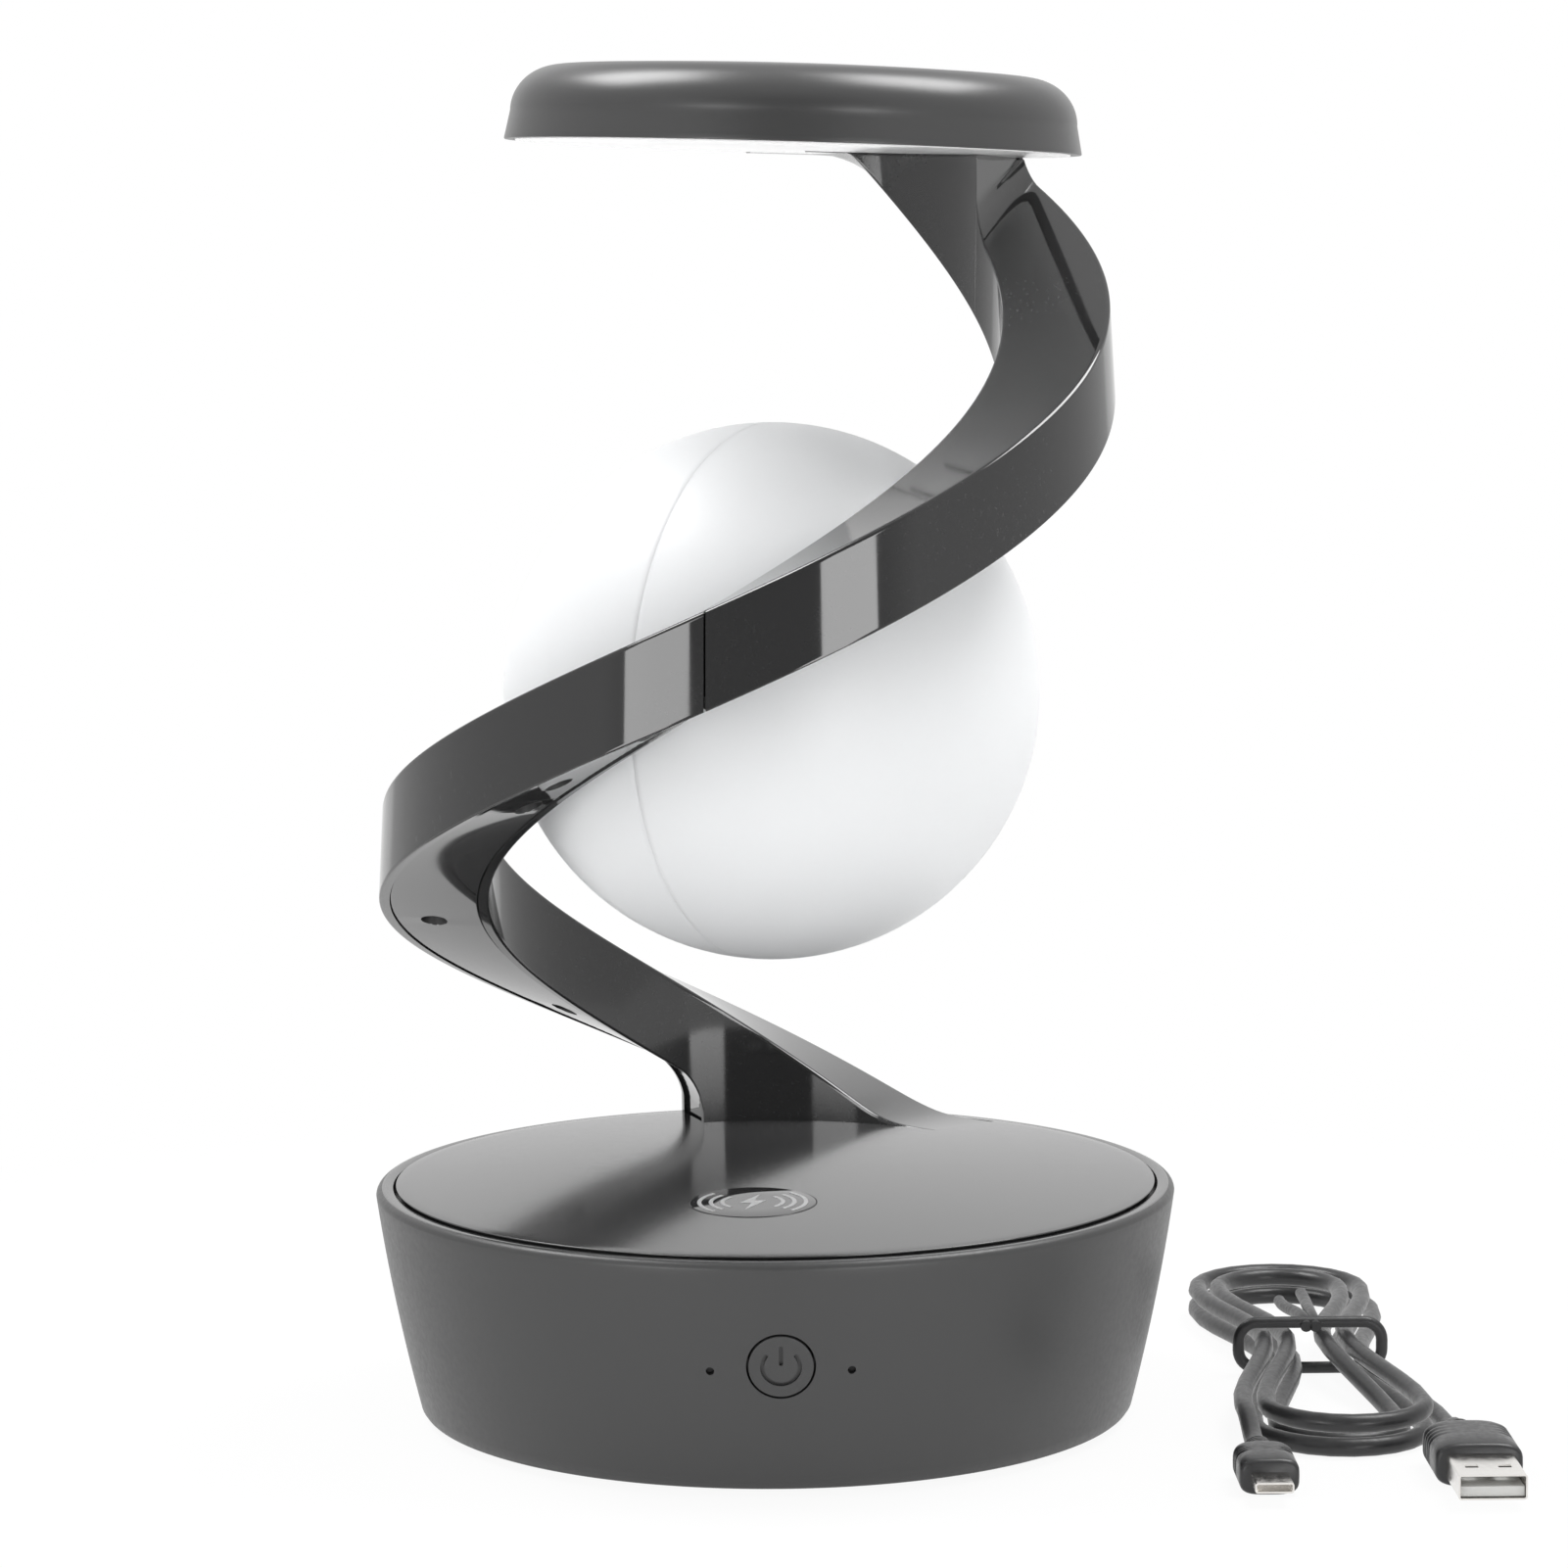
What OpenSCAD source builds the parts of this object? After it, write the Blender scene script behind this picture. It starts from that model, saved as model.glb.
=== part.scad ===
// Spiral table lamp: round charging base, ribbon arm, frosted globe and disc lamp head, with its cable.
// Millimetres. +Z is up, the origin is on the table under the middle of the base, the button faces -Y.

/* [Base] */
// Widest radius of the housing, at the rim
base_r = 75.2; // [74:0.2:80]
// Radius of the housing at its lower edge
base_foot_r = 67.1; // [66:0.1:69]
// Height of the rim above the table
base_h = 43.8; // [42:0.2:52]
// Bulge of the wall outside a straight cone
base_bulge = 0.6; // [0:0.1:1.2]
// Thickness of the housing's wall
base_wall = 2.6; // [2.2:0.1:3.2]
// Width of the rim between the wall and the groove
rim_w = 3.2; // [3:0.1:4]
// Radius of the rounded rim
rim_round = 2; // [1:0.1:2.6]
// Height of the rubber feet below the housing
feet_h = 1.2; // [0.8:0.1:2]
// Gap between the top plate and the rim
groove = 0.5; // [0.3:0.1:0.8]
// Rise of the top plate's dome
plate_dome = 3; // [1.5:0.1:3.6]
// Thickness of the top plate
plate_t = 2.2; // [1.8:0.1:2.4]
// Radius of the charging mark's disc
disc_r = 11.6; // [9:0.1:14]
// Sideways place of the charging mark
disc_x = -4.5; // [-8:0.1:8]
// Front to back place of the charging mark
disc_y = -34; // [-38:0.2:-26]

/* [Button] */
// Radius of the power button's cap
button_r = 5.8; // [4.6:0.1:6.4]
// Height of the button's centre above the table
button_z = 24.6; // [22:0.1:27]
// Gap around the button's cap
button_gap = 0.3; // [0.15:0.05:0.5]
// Travel of the button
button_travel = 0.5; // [0.3:0.05:0.6]
// Sideways distance of the two pin holes
pin_x = 12.4; // [11.5:0.1:14]
// Radius of the pin holes
pin_r = 0.7; // [0.6:0.05:0.9]

/* [Arm] */
// How far the arm's outer radius passes the top plate
arm_over = 0.3; // [0:0.1:0.5]
// Gap of the arm's inner radius to the globe's radius
arm_clear = 1.9; // [1.9:0.1:4]
// Width of the arm's ribbon
arm_w = 19.8; // [17:0.1:22]
// Height of the arm's ribbon
arm_h = 17.4; // [16:0.1:19]
// Rise of the ribbon in one full turn
arm_pitch = 202; // [196:1:208]
// Height of the ribbon's middle at the front, above the rim
arm_front_z = 110.3; // [108:0.1:113]
// Side walls of the arm
arm_wall = 2; // [1.6:0.1:2.4]
// Top wall of the arm
arm_top = 2.2; // [1.8:0.1:2.6]
// Thickness of the cover strips
strip_t = 2; // [1.6:0.1:2.4]
// Radius of the fillet at the arm's two ends
end_fillet = 7; // [5:0.1:8]

/* [Globe] */
// Radius of the globe
globe_r = 50.1; // [48:0.1:50.6]
// Height of the globe's middle above the rim
globe_rise = 92.3; // [90:0.1:95]
// Thickness of the globe's shell
globe_t = 1.6; // [1.2:0.1:2.2]

/* [Head] */
// Radius of the lamp head at its lower edge
head_r = 53.7; // [53:0.1:58]
// Height of the lamp head at its middle
head_h = 16.2; // [15:0.1:20]
// Height of the head's lower edge above the rim
head_rise = 192.9; // [190:0.1:195]
// Sideways tilt of the head, right side down
head_tilt = 2.06; // [0:0.02:3]
// Thickness of the head's shell
head_t = 1.8; // [1.5:0.1:2.2]

/* [Cable] */
// Thickness of the cord
cord_d = 3.5; // [3:0.1:3.6]
// Straight length of the hank's runs
hank_run = 96; // [86:1:110]
// Bend radius of the hank's inmost fold
hank_fold = 10.8; // [10.8:0.1:13]
// Sideways place of the hank
hank_x = 104; // [102:1:116]
// Front to back place of the hank
hank_y = 20; // [-10:1:30]

/* [Hidden] */
$fn = 72;

// Shared clearances
fit = 0.2;
seat_gap = 0.05;
eps = 0.01;

// Base
foot_round = 1.2;
well_r = base_r - rim_w;
plate_r = well_r - groove;
edge_z = base_h - 0.2;
ledge_z = base_h - 2.8;
ledge_t = 2;
ledge_r = plate_r - 5;
shelf_r = ledge_r - 0.7;
brace_z = ledge_z - 8;
cover_t = 2;
lip_z = feet_h + cover_t;
lip_t = 1.5;
cover_r = base_foot_r - base_wall - 0.6;
lip_r = cover_r - 2;
boss_r = cover_r - 5.9;
foot_r = 7;
foot_ring = 50;
foot_sink = 0.8;
boss_out = 3.5;
boss_h = 12;
rib_t = 2.5;
pilot_r = 1.25;
ballast_r = 46;
ballast_t = 4;
ballast_hole = 5;
post_r = 2.6;
post_hole = 3.1;
cover_hole = 1.6;
cover_sink = 3;
screw_head = 2.7;
screw_head_t = 0.9;
shank_r = 1.2;
wall_steps = 6;
function wall_t(z) = (z - feet_h) / (base_h - rim_round - feet_h);
function wall_r(z) = base_foot_r + (base_r - base_foot_r) * wall_t(z)
    + 4 * base_bulge * wall_t(z) * (1 - wall_t(z));
function deck_z(r) = edge_z + plate_dome * (1 - pow(r / plate_r, 2));
button_lean = atan((wall_r(button_z + 1) - wall_r(button_z - 1)) / 2);
plunger_end = -8.4;
plunger_spare = 0.7;

// Boards
board_z = 14;
board_t = 1.6;
board_w = 30;
board_y0 = 6;
board_y1 = cover_r;
board_posts = [[-11, 14], [11, 14], [-11, 54], [11, 54]];
lead_plug = [9, 54];
plug_h = 5.4;
socket_w = 7.6;
socket_h = 2.9;
socket_z = board_z + board_t + socket_h / 2;
socket_front = wall_r(socket_z) - 0.8;
socket_len = 8;

// Charging parts
disc_pos = norm([disc_x, disc_y]);
disc_slope = atan(2 * plate_dome * disc_pos / pow(plate_r, 2));
disc_t = 0.8;
coil_t = 1.2;
ferrite_t = 0.8;
coil_z = -plate_t - 0.3;
coil_r = 20;
coil_in = 10;
ferrite_r = 22;

// Arm
arm_x = -1.73;
arm_y = -1.98;
arm_from = 59.25;
arm_in_r = globe_r + arm_clear;
arm_out_r = arm_in_r + arm_w;
arm_shift = plate_r + arm_over - arm_out_r;
end_out = 6.15;
end_in = 19.5;
arm_out_draw = arm_out_r - head_r - end_out;
arm_in_draw = arm_in_r - head_r + end_in;
shift_to = 200;
arm_draft = 0.98;
arm_in_draft = 0.37;
lean_x = -0.0203;
lean_y = 0.0222;
foot_from = 56.2;
foot_solid = 74;
foot_end = 103.2;
foot_seat = ledge_z + 1.4;
foot_blend = 1.4;
drop_from = 123;
drop_rate = 0.0006;
lift_from = 339.3;
lift_rate = 0.0012;
skew_from = 345;
skew_to = 378;
skew_in = 8.5;
skew_out = 12;
arm_seam = 261.4;
seam_gap = 0.12;
strip_split = arm_seam - 35.1;
strip_gap = 0.3;
strip_inset = 0.3;
head_end = 383.2;
toe_solid = 403;
toe_end = 440;
toe_blend = 0.6;
fillet_deg = 5.3;
function turn_share(a) = max((a - arm_from) / 360, 0);
function foot_share(a) = ease((shift_to - a) / (shift_to - foot_end));
function out_r(a) = arm_out_r + arm_shift * foot_share(a) - arm_out_draw * pow(turn_share(a), 2.5);
function in_r(a) = arm_in_r + arm_shift * foot_share(a) - arm_in_draw * pow(turn_share(a), 4.4);
function plan(r, a) = [arm_x + r * cos(a), arm_y + r * sin(a)];
function ease(t) = let(u = min(max(t, 0), 1)) u * u * (3 - 2 * u);
function skew(s) = ease((s - skew_from) / (skew_to - skew_from));
function a_in(s) = s - skew_in * skew(s);
function a_out(s) = s + skew_out * skew(s);
function draft(s) = min(max((s - foot_end) / 20, 0), 1);
function p_ot(s) = plan(out_r(a_out(s)), a_out(s));
function p_ob(s) = plan(out_r(a_out(s)) + arm_draft * draft(s), a_out(s));
function p_it(s) = plan(in_r(a_in(s)), a_in(s));
function p_ib(s) = plan(in_r(a_in(s)) - arm_in_draft * draft(s), a_in(s));
function helix_z(a) = base_h + arm_front_z + arm_pitch * (a - 270) / 360;
function lean_z(p) = lean_x * p[0] + lean_y * p[1];
function band_top(a, p) = helix_z(a) + arm_h / 2 - drop_rate * pow(max(drop_from - a, 0), 2) + lean_z(p);
function band_bot(a, p) = helix_z(a) - arm_h / 2 + lift_rate * pow(max(a - lift_from, 0), 2) + lean_z(p);
function under_z(p) = base_h + head_rise + arm_lift - (p[0] - head_x) * tan(head_tilt);
function soft(h, k) = 0.5 * (h + sqrt(h * h + 4 * k * k));
function quarter(x) = x >= 1 ? 0 : 1 - sqrt(max(1 - pow(1 - max(x, 0), 2), 0));
function roof(s, a, p) = let(d = deck_z(norm(p)), z = band_top(a, p))
    min(d + max(soft(z - d, foot_blend), 0.25) + end_fillet * quarter((head_end - s) / fillet_deg),
        under_z(p));
function top_z(s, a, p) = s > head_end ? under_z(p) : roof(s, a, p);
function cave_z(s, a, p) = (s > head_end + 2.4 ? under_z(p) : roof(min(s, head_end), a, p)) - arm_top;
function toe_z(z, p) = under_z(p) - max(soft(under_z(p) - z, toe_blend), 0.4);
function bot_z(s, a, p) = s <= foot_end ? foot_seat
    : toe_z(band_bot(a, p) - end_fillet * quarter((s - foot_end) / fillet_deg), p);
function on_line(p, q, d) = p + (q - p) * d / norm(q - p);
function part_way(p, q, c) = norm(c - p) / norm(q - p);
function mix(a, b, t) = a + (b - a) * t;
function has_cave(s) = s > foot_solid && s < toe_solid;
function z_pair(s) = [bot_z(s, a_in(s), p_ib(s)), bot_z(s, a_out(s), p_ob(s)),
    top_z(s, a_in(s), p_it(s)), top_z(s, a_out(s), p_ot(s)),
    cave_z(s, a_in(s), p_it(s)), cave_z(s, a_out(s), p_ot(s))];
function at3(p, z) = [p[0], p[1], z];
function channel_ring(s) = let(
    ob = p_ob(s), ot = p_ot(s), it = p_it(s), ib = p_ib(s), z = z_pair(s),
    w = arm_wall, cib = on_line(ib, ob, w), cob = on_line(ob, ib, w), cit = on_line(it, ot, w),
    cot = on_line(ot, it, w), f = part_way(ib, ob, cib), g = part_way(ib, ob, cob),
    zib = mix(z[0], z[1], f), zob = mix(z[0], z[1], g),
    zit = has_cave(s) ? mix(z[4], z[5], f) : zib + min(0.3, 0.4 * (z[2] - z[0])),
    zot = has_cave(s) ? mix(z[4], z[5], g) : zob + min(0.3, 0.4 * (z[3] - z[1])))
    [at3(ob, z[1]), at3(ot, z[3]), at3(it, z[2]), at3(ib, z[0]),
    at3(cib, zib), at3(cit, zit), at3(cot, zot), at3(cob, zob)];
function strip_low(s, a, p) = s <= foot_end - 0.5 ? foot_seat + 0.1 : bot_z(s + 0.5, a, p) + strip_inset;
function rise_share(h, full) = min(h / max(full, 0.5), 1);
function strip_ring(s, lift) = let(
    ob = p_ob(s), ib = p_ib(s), w = arm_wall + strip_gap, q = on_line(ob, ib, w), p = on_line(ib, ob, w),
    f = part_way(ib, ob, p), g = part_way(ib, ob, q),
    li = strip_low(s, a_in(s), ib), lo = strip_low(s, a_out(s), ob),
    hi = max(toe_z(band_bot(a_in(s), ib), ib), li - strip_inset),
    ho = max(toe_z(band_bot(a_out(s), ob), ob), lo - strip_inset),
    ci = cave_z(s, a_in(s), p_it(s)) - 2 * strip_gap, co = cave_z(s, a_out(s), p_ot(s)) - 2 * strip_gap)
    let(zq = mix(li, lo, g), zp = mix(li, lo, f), cq = mix(ci, co, g), cp = mix(ci, co, f),
    tq = min(mix(hi, ho, g) + strip_inset + lift, cq), tp = min(mix(hi, ho, f) + strip_inset + lift, cp),
    dq = arm_draft * draft(s) * rise_share(tq - zq, cq - zq),
    dp = arm_in_draft * draft(s) * rise_share(tp - zp, cp - zp))
    [at3(q, zq), at3(on_line(q, p, dq), tq), at3(on_line(p, q, dp), tp), at3(p, zp)];
function steps(a, b, d) = let(n = max(ceil((b - a) / d), 1)) [for (i = [0:n]) a + (b - a) * i / n];
fillet_steps = [for (t = [0:15:75]) fillet_deg * (1 - cos(t))];
lower_s = concat(steps(foot_from, foot_solid, 3), [foot_solid + 0.1], steps(foot_solid + 4, foot_end, 4),
    [for (t = fillet_steps) foot_end + 0.1 + t], steps(foot_end + 0.1 + fillet_deg, arm_seam - seam_gap, 4));
upper_s = concat(steps(arm_seam, head_end - fillet_deg - 0.1, 4),
    [for (i = [5:-1:0]) head_end - 0.1 - fillet_steps[i]],
    [head_end, head_end + 0.1, head_end + 2.3, head_end + 2.5],
    steps(head_end + 6, toe_solid - 0.1, 4), [toe_solid], steps(toe_solid + 3, toe_end, 3));
low_strip_s = concat([foot_end - 2.6, foot_end - 0.55], [for (t = fillet_steps) foot_end - 0.45 + t],
    steps(foot_end - 0.4 + fillet_deg, strip_split - 0.1, 4));
up_strip_s = steps(strip_split, toe_solid - 1, 4);
function mid(s, share) = mix(p_ib(s), p_ob(s), share);
function mid_bot(s, share) = mix(bot_z(s, a_in(s), p_ib(s)), bot_z(s, a_out(s), p_ob(s)), share);
function mid_cave(s, share) = mix(cave_z(s, a_in(s), p_it(s)), cave_z(s, a_out(s), p_ot(s)), share);
low_screws = [[130, 0.45], [172.7, 0.55], [strip_split - 2.9, 0.35]];
up_screws = [[strip_split + 6.4, 0.47], [arm_seam - 10.7, 0.42], [300, 0.45], [345, 0.45]];
all_screws = concat(low_screws, up_screws);
below_seam = [for (b = all_screws) if (b[0] < arm_seam) b];
above_seam = [for (b = all_screws) if (b[0] >= arm_seam) b];
cup_r = 3.4;
cup_h = 5;
sink_r = 2.5;
sink_h = 3;
screw_r = 1.1;
boss_gap = 7.3;
boss_rad = 2.5;
pilot_deep = 6;
screw_deep = 5;
foot_bolts = [[68, 0.45], [96, 0.4]];
foot_lead = 86;
lead_share = 0.76;
lead_r = 1.1;
pad_z = foot_seat - 3.4;

// Head
head_x = 4.7;
head_y = 7.9;
arm_lift = 0.25;
side_z = 5.5;
side_r = head_r - 1;
crown_r = side_r - 9.2;
crown_z = head_h - 3.1;
diffuser_z = 0.3;
diffuser_t = 2;
led_z = 6;
led_t = 1.6;
led_r = head_r - 6.7;
led_ring = led_r - 23;
led_bolt_r = led_r - 11;
chip = 2.8;
chip_t = 0.8;
head_boss = 4;
head_rib = 3.4;
led_post = 3;
bolt_s = [head_end + 6.8, toe_solid - 4.4];
head_lead_s = head_end + 11.3;
head_lead_share = 0.8;
function head_local(p) = [(p[0] - head_x) / cos(head_tilt), p[1] - head_y];
head_bolts = [for (s = bolt_s) head_local(mid(s, 0.45))];
head_lead = head_local(mid(head_lead_s, head_lead_share));
led_bolts = [for (a = [110, 220, 320]) led_bolt_r * [cos(a), sin(a)]];

// Globe
globe_z = base_h + globe_rise;
neck_up = 0.745798;
neck_back = 22.15;
neck_a = arm_seam - neck_back;
neck_r = 4;
neck_hole = 2.5;
neck_collar = 6;
neck_flange = 7;
flange_t = 2;
nut_r = neck_r + 1;
nut_t = 2.2;
nut_gap = 0.3;
globe_board_r = 12;
neck_in = globe_r - 9.1;
neck_foot = globe_r + 0.2;
wall_gap = 1.2;
wall_far = in_r(neck_a) + arm_x * cos(neck_a) + arm_y * sin(neck_a);
nut_far = wall_far + arm_wall + nut_gap + nut_t / 2;
neck_tilt = atan2(helix_z(neck_a) - neck_up - globe_z, nut_far);
wall_at = wall_far / cos(neck_tilt);
neck_wall = wall_at - wall_gap - neck_collar * abs(tan(neck_tilt));
nut_at = wall_at + arm_wall / cos(neck_tilt) + nut_gap + nut_r * abs(tan(neck_tilt));
globe_in = sqrt(pow(globe_r - globe_t, 2) - pow(neck_flange, 2)) - 0.15;

// Cable
cord_r = cord_d / 2;
layer = cord_d + 0.6;
hank_step = cord_d + 0.75;
waist_step = cord_d + 0.9;
hank_out = hank_fold + 2 * hank_step;
waist_out = 2 * waist_step + cord_d / 2 + 0.2;
tie_t = 0.8;
waist_lift = tie_t + 0.4;
turns = 3.75;
loop_n = 24;
plug_a_gap = 14;
plug_m_gap = 22;
plug_a = [15.6, 24, 8];
plug_m = [10.6, 20, 6.6];
plug_a_shell = [12, 14.5, 4.5];
plug_m_shell = [6.85, 7, 1.9];
function spool(u) = u < 2 ? u : 4 - u;
function end_rad(u) = hank_out - hank_step * spool(u);
function waist(u) = waist_out - waist_step * spool(u);
function draw_in(y, u) = mix(waist(u), end_rad(u), ease(abs(y) / (hank_run / 2)));
function lift_at(y) = waist_lift * pow(cos(min(abs(y) / (hank_run / 2), 1) * 90), 2);
function hank_z(u, y) = cord_r + layer * ease((u - 2) * 8) + lift_at(y);
function loop_xy(u) = let(q = (u - floor(u)) * 4, k = floor(q), t = q - k)
    k == 0 ? let(y = mix(-hank_run / 2, hank_run / 2, t)) [draw_in(y, u), y]
    : k == 1 ? [end_rad(u) * cos(180 * t), hank_run / 2 + end_rad(u) * sin(180 * t)]
    : k == 2 ? let(y = mix(hank_run / 2, -hank_run / 2, t)) [-draw_in(y, u), y]
    : [-end_rad(u) * cos(180 * t), -hank_run / 2 - end_rad(u) * sin(180 * t)];
function hank_pt(u) = let(p = loop_xy(u))
    [p[0], p[1], hank_z(u, abs(p[1]) > hank_run / 2 ? hank_run / 2 : p[1])];
start_end = hank_pt(0);
stop_end = hank_pt(turns - 0.0001);
function tail(e, z, gap, t) = [e[0], e[1] - gap * t,
    mix(e[2], z, ease(min(max((gap * t - 3) / (gap - 3 - cord_d), 0), 1)))];
hank_path = concat([for (i = [6:-1:1]) tail(start_end, plug_a[2] / 2, plug_a_gap, i / 6)],
    [for (i = [0:turns * loop_n - 1]) hank_pt(i / loop_n)], [stop_end],
    [for (i = [1:7]) tail(stop_end, plug_m[2] / 2, plug_m_gap, i / 7)]);
hank_gap = min([for (i = [0:len(hank_path) - 1]) for (j = [i + 9:1:len(hank_path) - 1])
    norm(hank_path[i] - hank_path[j])]) - cord_d;
function path_len(p, i) = i == 0 ? 0 : norm(p[i] - p[i - 1]) + path_len(p, i - 1);
echo(hank_gap = hank_gap, hank_length = path_len(hank_path, len(hank_path) - 1));

// Sweeps
function unit(v) = v / norm(v);
function flat(l) = [for (a = l) for (b = a) b];
function sides(k, n) = [for (i = [0:k - 2]) for (j = [0:n - 1]) for (t = [0, 1])
    let(a = i * n + j, b = i * n + (j + 1) % n) t == 0 ? [a, b, b + n] : [a, b + n, a + n]];
function turned(f) = [for (i = [len(f) - 1:-1:0]) f[i]];
function fan(f) = [for (i = [1:len(f) - 2]) [f[0], f[i], f[i + 1]]];
function caps(k, n, quads) = flat([for (q = quads)
    concat(fan(turned(q)), fan([for (i = q) i + (k - 1) * n]))]);
module sweep(rings, quads) {
    k = len(rings);
    n = len(rings[0]);
    polyhedron(points = flat(rings), faces = concat(sides(k, n), caps(k, n, quads)), convexity = 10);
}
arch_quads = [[0, 1, 6, 7], [1, 2, 5, 6], [2, 3, 4, 5]];
function tube_rings(path, r, n, refs) = [for (i = [0:len(path) - 1]) let(
    t = unit(path[min(i + 1, len(path) - 1)] - path[max(i - 1, 0)]),
    u = unit(cross(t, refs[i])), v = cross(u, t))
    [for (j = [0:n - 1]) path[i] + r * (cos(360 * j / n) * u + sin(360 * j / n) * v)]];
module tube(path, r, n, refs) {
    sweep(tube_rings(path, r, n, refs), [[for (j = [0:n - 1]) j]]);
}
module strip(list, lift) {
    sweep([for (s = list) strip_ring(s, lift)], [[0, 1, 2, 3]]);
}

// Placing
module at_button() {
    translate([0, -wall_r(button_z), button_z]) rotate([90 + button_lean, 0, 0]) children();
}
module at_disc() {
    translate([disc_x, disc_y, deck_z(disc_pos)]) rotate([0, 0, atan2(disc_y, disc_x)])
        rotate([0, disc_slope, 0]) children();
}
module at_head() {
    translate([head_x, head_y, base_h + head_rise]) rotate([0, head_tilt, 0]) children();
}
module at_neck() {
    translate([0, 0, globe_z]) rotate([0, 0, neck_a]) rotate([0, 90 - neck_tilt, 0]) children();
}
module at_hank() {
    translate([hank_x, hank_y, 0]) children();
}
module around(list) {
    for (p = list) translate([p[0], p[1], 0]) children();
}
module quarters(r, a) {
    for (i = [0:3]) rotate([0, 0, a + 90 * i]) translate([r, 0, 0]) children();
}
module rod(r, z0, z1) {
    translate([0, 0, z0]) cylinder(r = r, h = z1 - z0);
}
module slab(w, d, z0, z1) {
    translate([-w / 2, -d / 2, z0]) cube([w, d, z1 - z0]);
}
module pill(w, h, l) {
    linear_extrude(l) union() {
        square([w - h, h], center = true);
        translate([(w - h) / 2, 0]) circle(d = h);
        translate([-(w - h) / 2, 0]) circle(d = h);
    }
}

// Base
module base_housing() {
    outer = [for (i = [0:wall_steps]) let(z = mix(feet_h + foot_round, base_h - rim_round, i / wall_steps))
        [wall_r(z), z]];
    rim = [for (a = [15:15:90])
        [base_r - rim_round + rim_round * cos(a), base_h - rim_round + rim_round * sin(a)]];
    inner = [for (i = [0:wall_steps]) let(z = mix(brace_z, lip_z + lip_t + 1, i / wall_steps))
        [wall_r(z) - base_wall, z]];
    color([0.33, 0.33, 0.34]) difference() {
        union() {
            rotate_extrude($fn = 144) polygon(concat([[base_foot_r - foot_round, feet_h]], outer, rim,
                [[well_r, base_h], [well_r, ledge_z], [ledge_r, ledge_z], [ledge_r, ledge_z - ledge_t]],
                inner,
                [[lip_r, lip_z + lip_t], [lip_r, lip_z], [cover_r + fit, lip_z], [cover_r + fit, feet_h]]));
            quarters(boss_r, 45) {
                rod(boss_out, lip_z, lip_z + boss_h);
                translate([0, -rib_t / 2, lip_z]) cube([base_foot_r - boss_r - 1, rib_t, boss_h - 2]);
            }
            at_button() for (x = [-1, 1]) translate([9.6 * x, 0, 0]) rod(1.6, -11.1, -2.6);
        }
        quarters(boss_r, 45) rod(pilot_r, lip_z - 1, lip_z + boss_h - 2);
        at_button() {
            rod(button_r + button_gap, -6, 3);
            for (x = [-1, 1]) translate([pin_x * x, -1.2, 0]) rod(pin_r, -6, 3);
        }
        translate([0, base_r + 5, socket_z]) rotate([90, 0, 0])
            pill(socket_w + 2 * fit, socket_h + 2 * fit, 25);
    }
}

module foot_outline(grow) {
    a = foot_from - grow;
    b = foot_end + grow;
    polygon(concat([for (s = steps(a, b, 4)) plan(out_r(s) + grow, s)],
        [for (s = turned(steps(a, b, 4))) plan(in_r(s) - grow, s)]));
}

module base_top_plate() {
    n = 10;
    color([0.36, 0.36, 0.37]) difference() {
        union() {
            rotate_extrude($fn = 144) polygon(concat(
                [for (i = [0:n]) [plate_r * i / n, deck_z(plate_r * i / n)]],
                [[plate_r, ledge_z], [shelf_r, ledge_z]],
                [for (i = [n:-1:0]) [shelf_r * i / n, deck_z(shelf_r * i / n) - plate_t]]));
            rotate([0, 0, foot_from - 5]) rotate_extrude(angle = foot_end - foot_from + 10, $fn = 144)
                translate([arm_in_r - 4, pad_z])
                    square([shelf_r - 0.4 - arm_in_r + 4, foot_seat - pad_z + 1.2]);
        }
        translate([0, 0, foot_seat]) linear_extrude(arm_h) foot_outline(0.15);
        at_disc() rod(disc_r + 0.15, -disc_t, 3);
        for (b = foot_bolts) around([mid(b[0], b[1])]) rod(1.6, pad_z - 2, foot_seat + 1);
        around([mid(foot_lead, lead_share)]) rod(lead_r + 0.9, ledge_z - 9, foot_seat + 1);
    }
}

module bottom_cover() {
    color([0.16, 0.16, 0.17]) difference() {
        union() {
            rod(cover_r, feet_h, lip_z);
            around(board_posts) rod(post_r, lip_z - eps, board_z);
        }
        quarters(foot_ring, 0) rod(foot_r + fit, feet_h - 1, feet_h + foot_sink);
        quarters(boss_r, 45) rod(cover_hole, 0, lip_z + cover_t);
        quarters(boss_r, 45) rod(cover_sink, 0, feet_h + screw_head_t + 0.1);
    }
}

module rubber_feet() {
    color([0.08, 0.08, 0.08]) quarters(foot_ring, 0) rod(foot_r, 0, feet_h + foot_sink);
}

module bottom_screws() {
    color([0.6, 0.6, 0.62]) quarters(boss_r, 45) {
        rod(screw_head, feet_h + 0.1, feet_h + 0.1 + screw_head_t);
        rod(shank_r, feet_h + 0.5, lip_z + boss_h - 4);
    }
}

module ballast_plate() {
    color([0.5, 0.5, 0.52]) difference() {
        rod(ballast_r, lip_z, lip_z + ballast_t);
        rod(ballast_hole, 0, lip_z + 2 * ballast_t);
        around(board_posts) rod(post_hole, 0, lip_z + 2 * ballast_t);
    }
}

module main_board() {
    top = board_z + board_t;
    color([0.05, 0.3, 0.14]) union() {
        translate([0, (board_y0 + board_y1) / 2, 0]) slab(board_w, board_y1 - board_y0, board_z, top);
        translate([0, 22, 0]) slab(9, 9, top - eps, top + 1.2);
        translate([-8, 38, 0]) rod(4, top - eps, top + 4.2);
        translate([8, 36, 0]) slab(6, 8, top - eps, top + 2);
        around([lead_plug]) slab(7, 6, top - eps, top + plug_h);
    }
}

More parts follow.
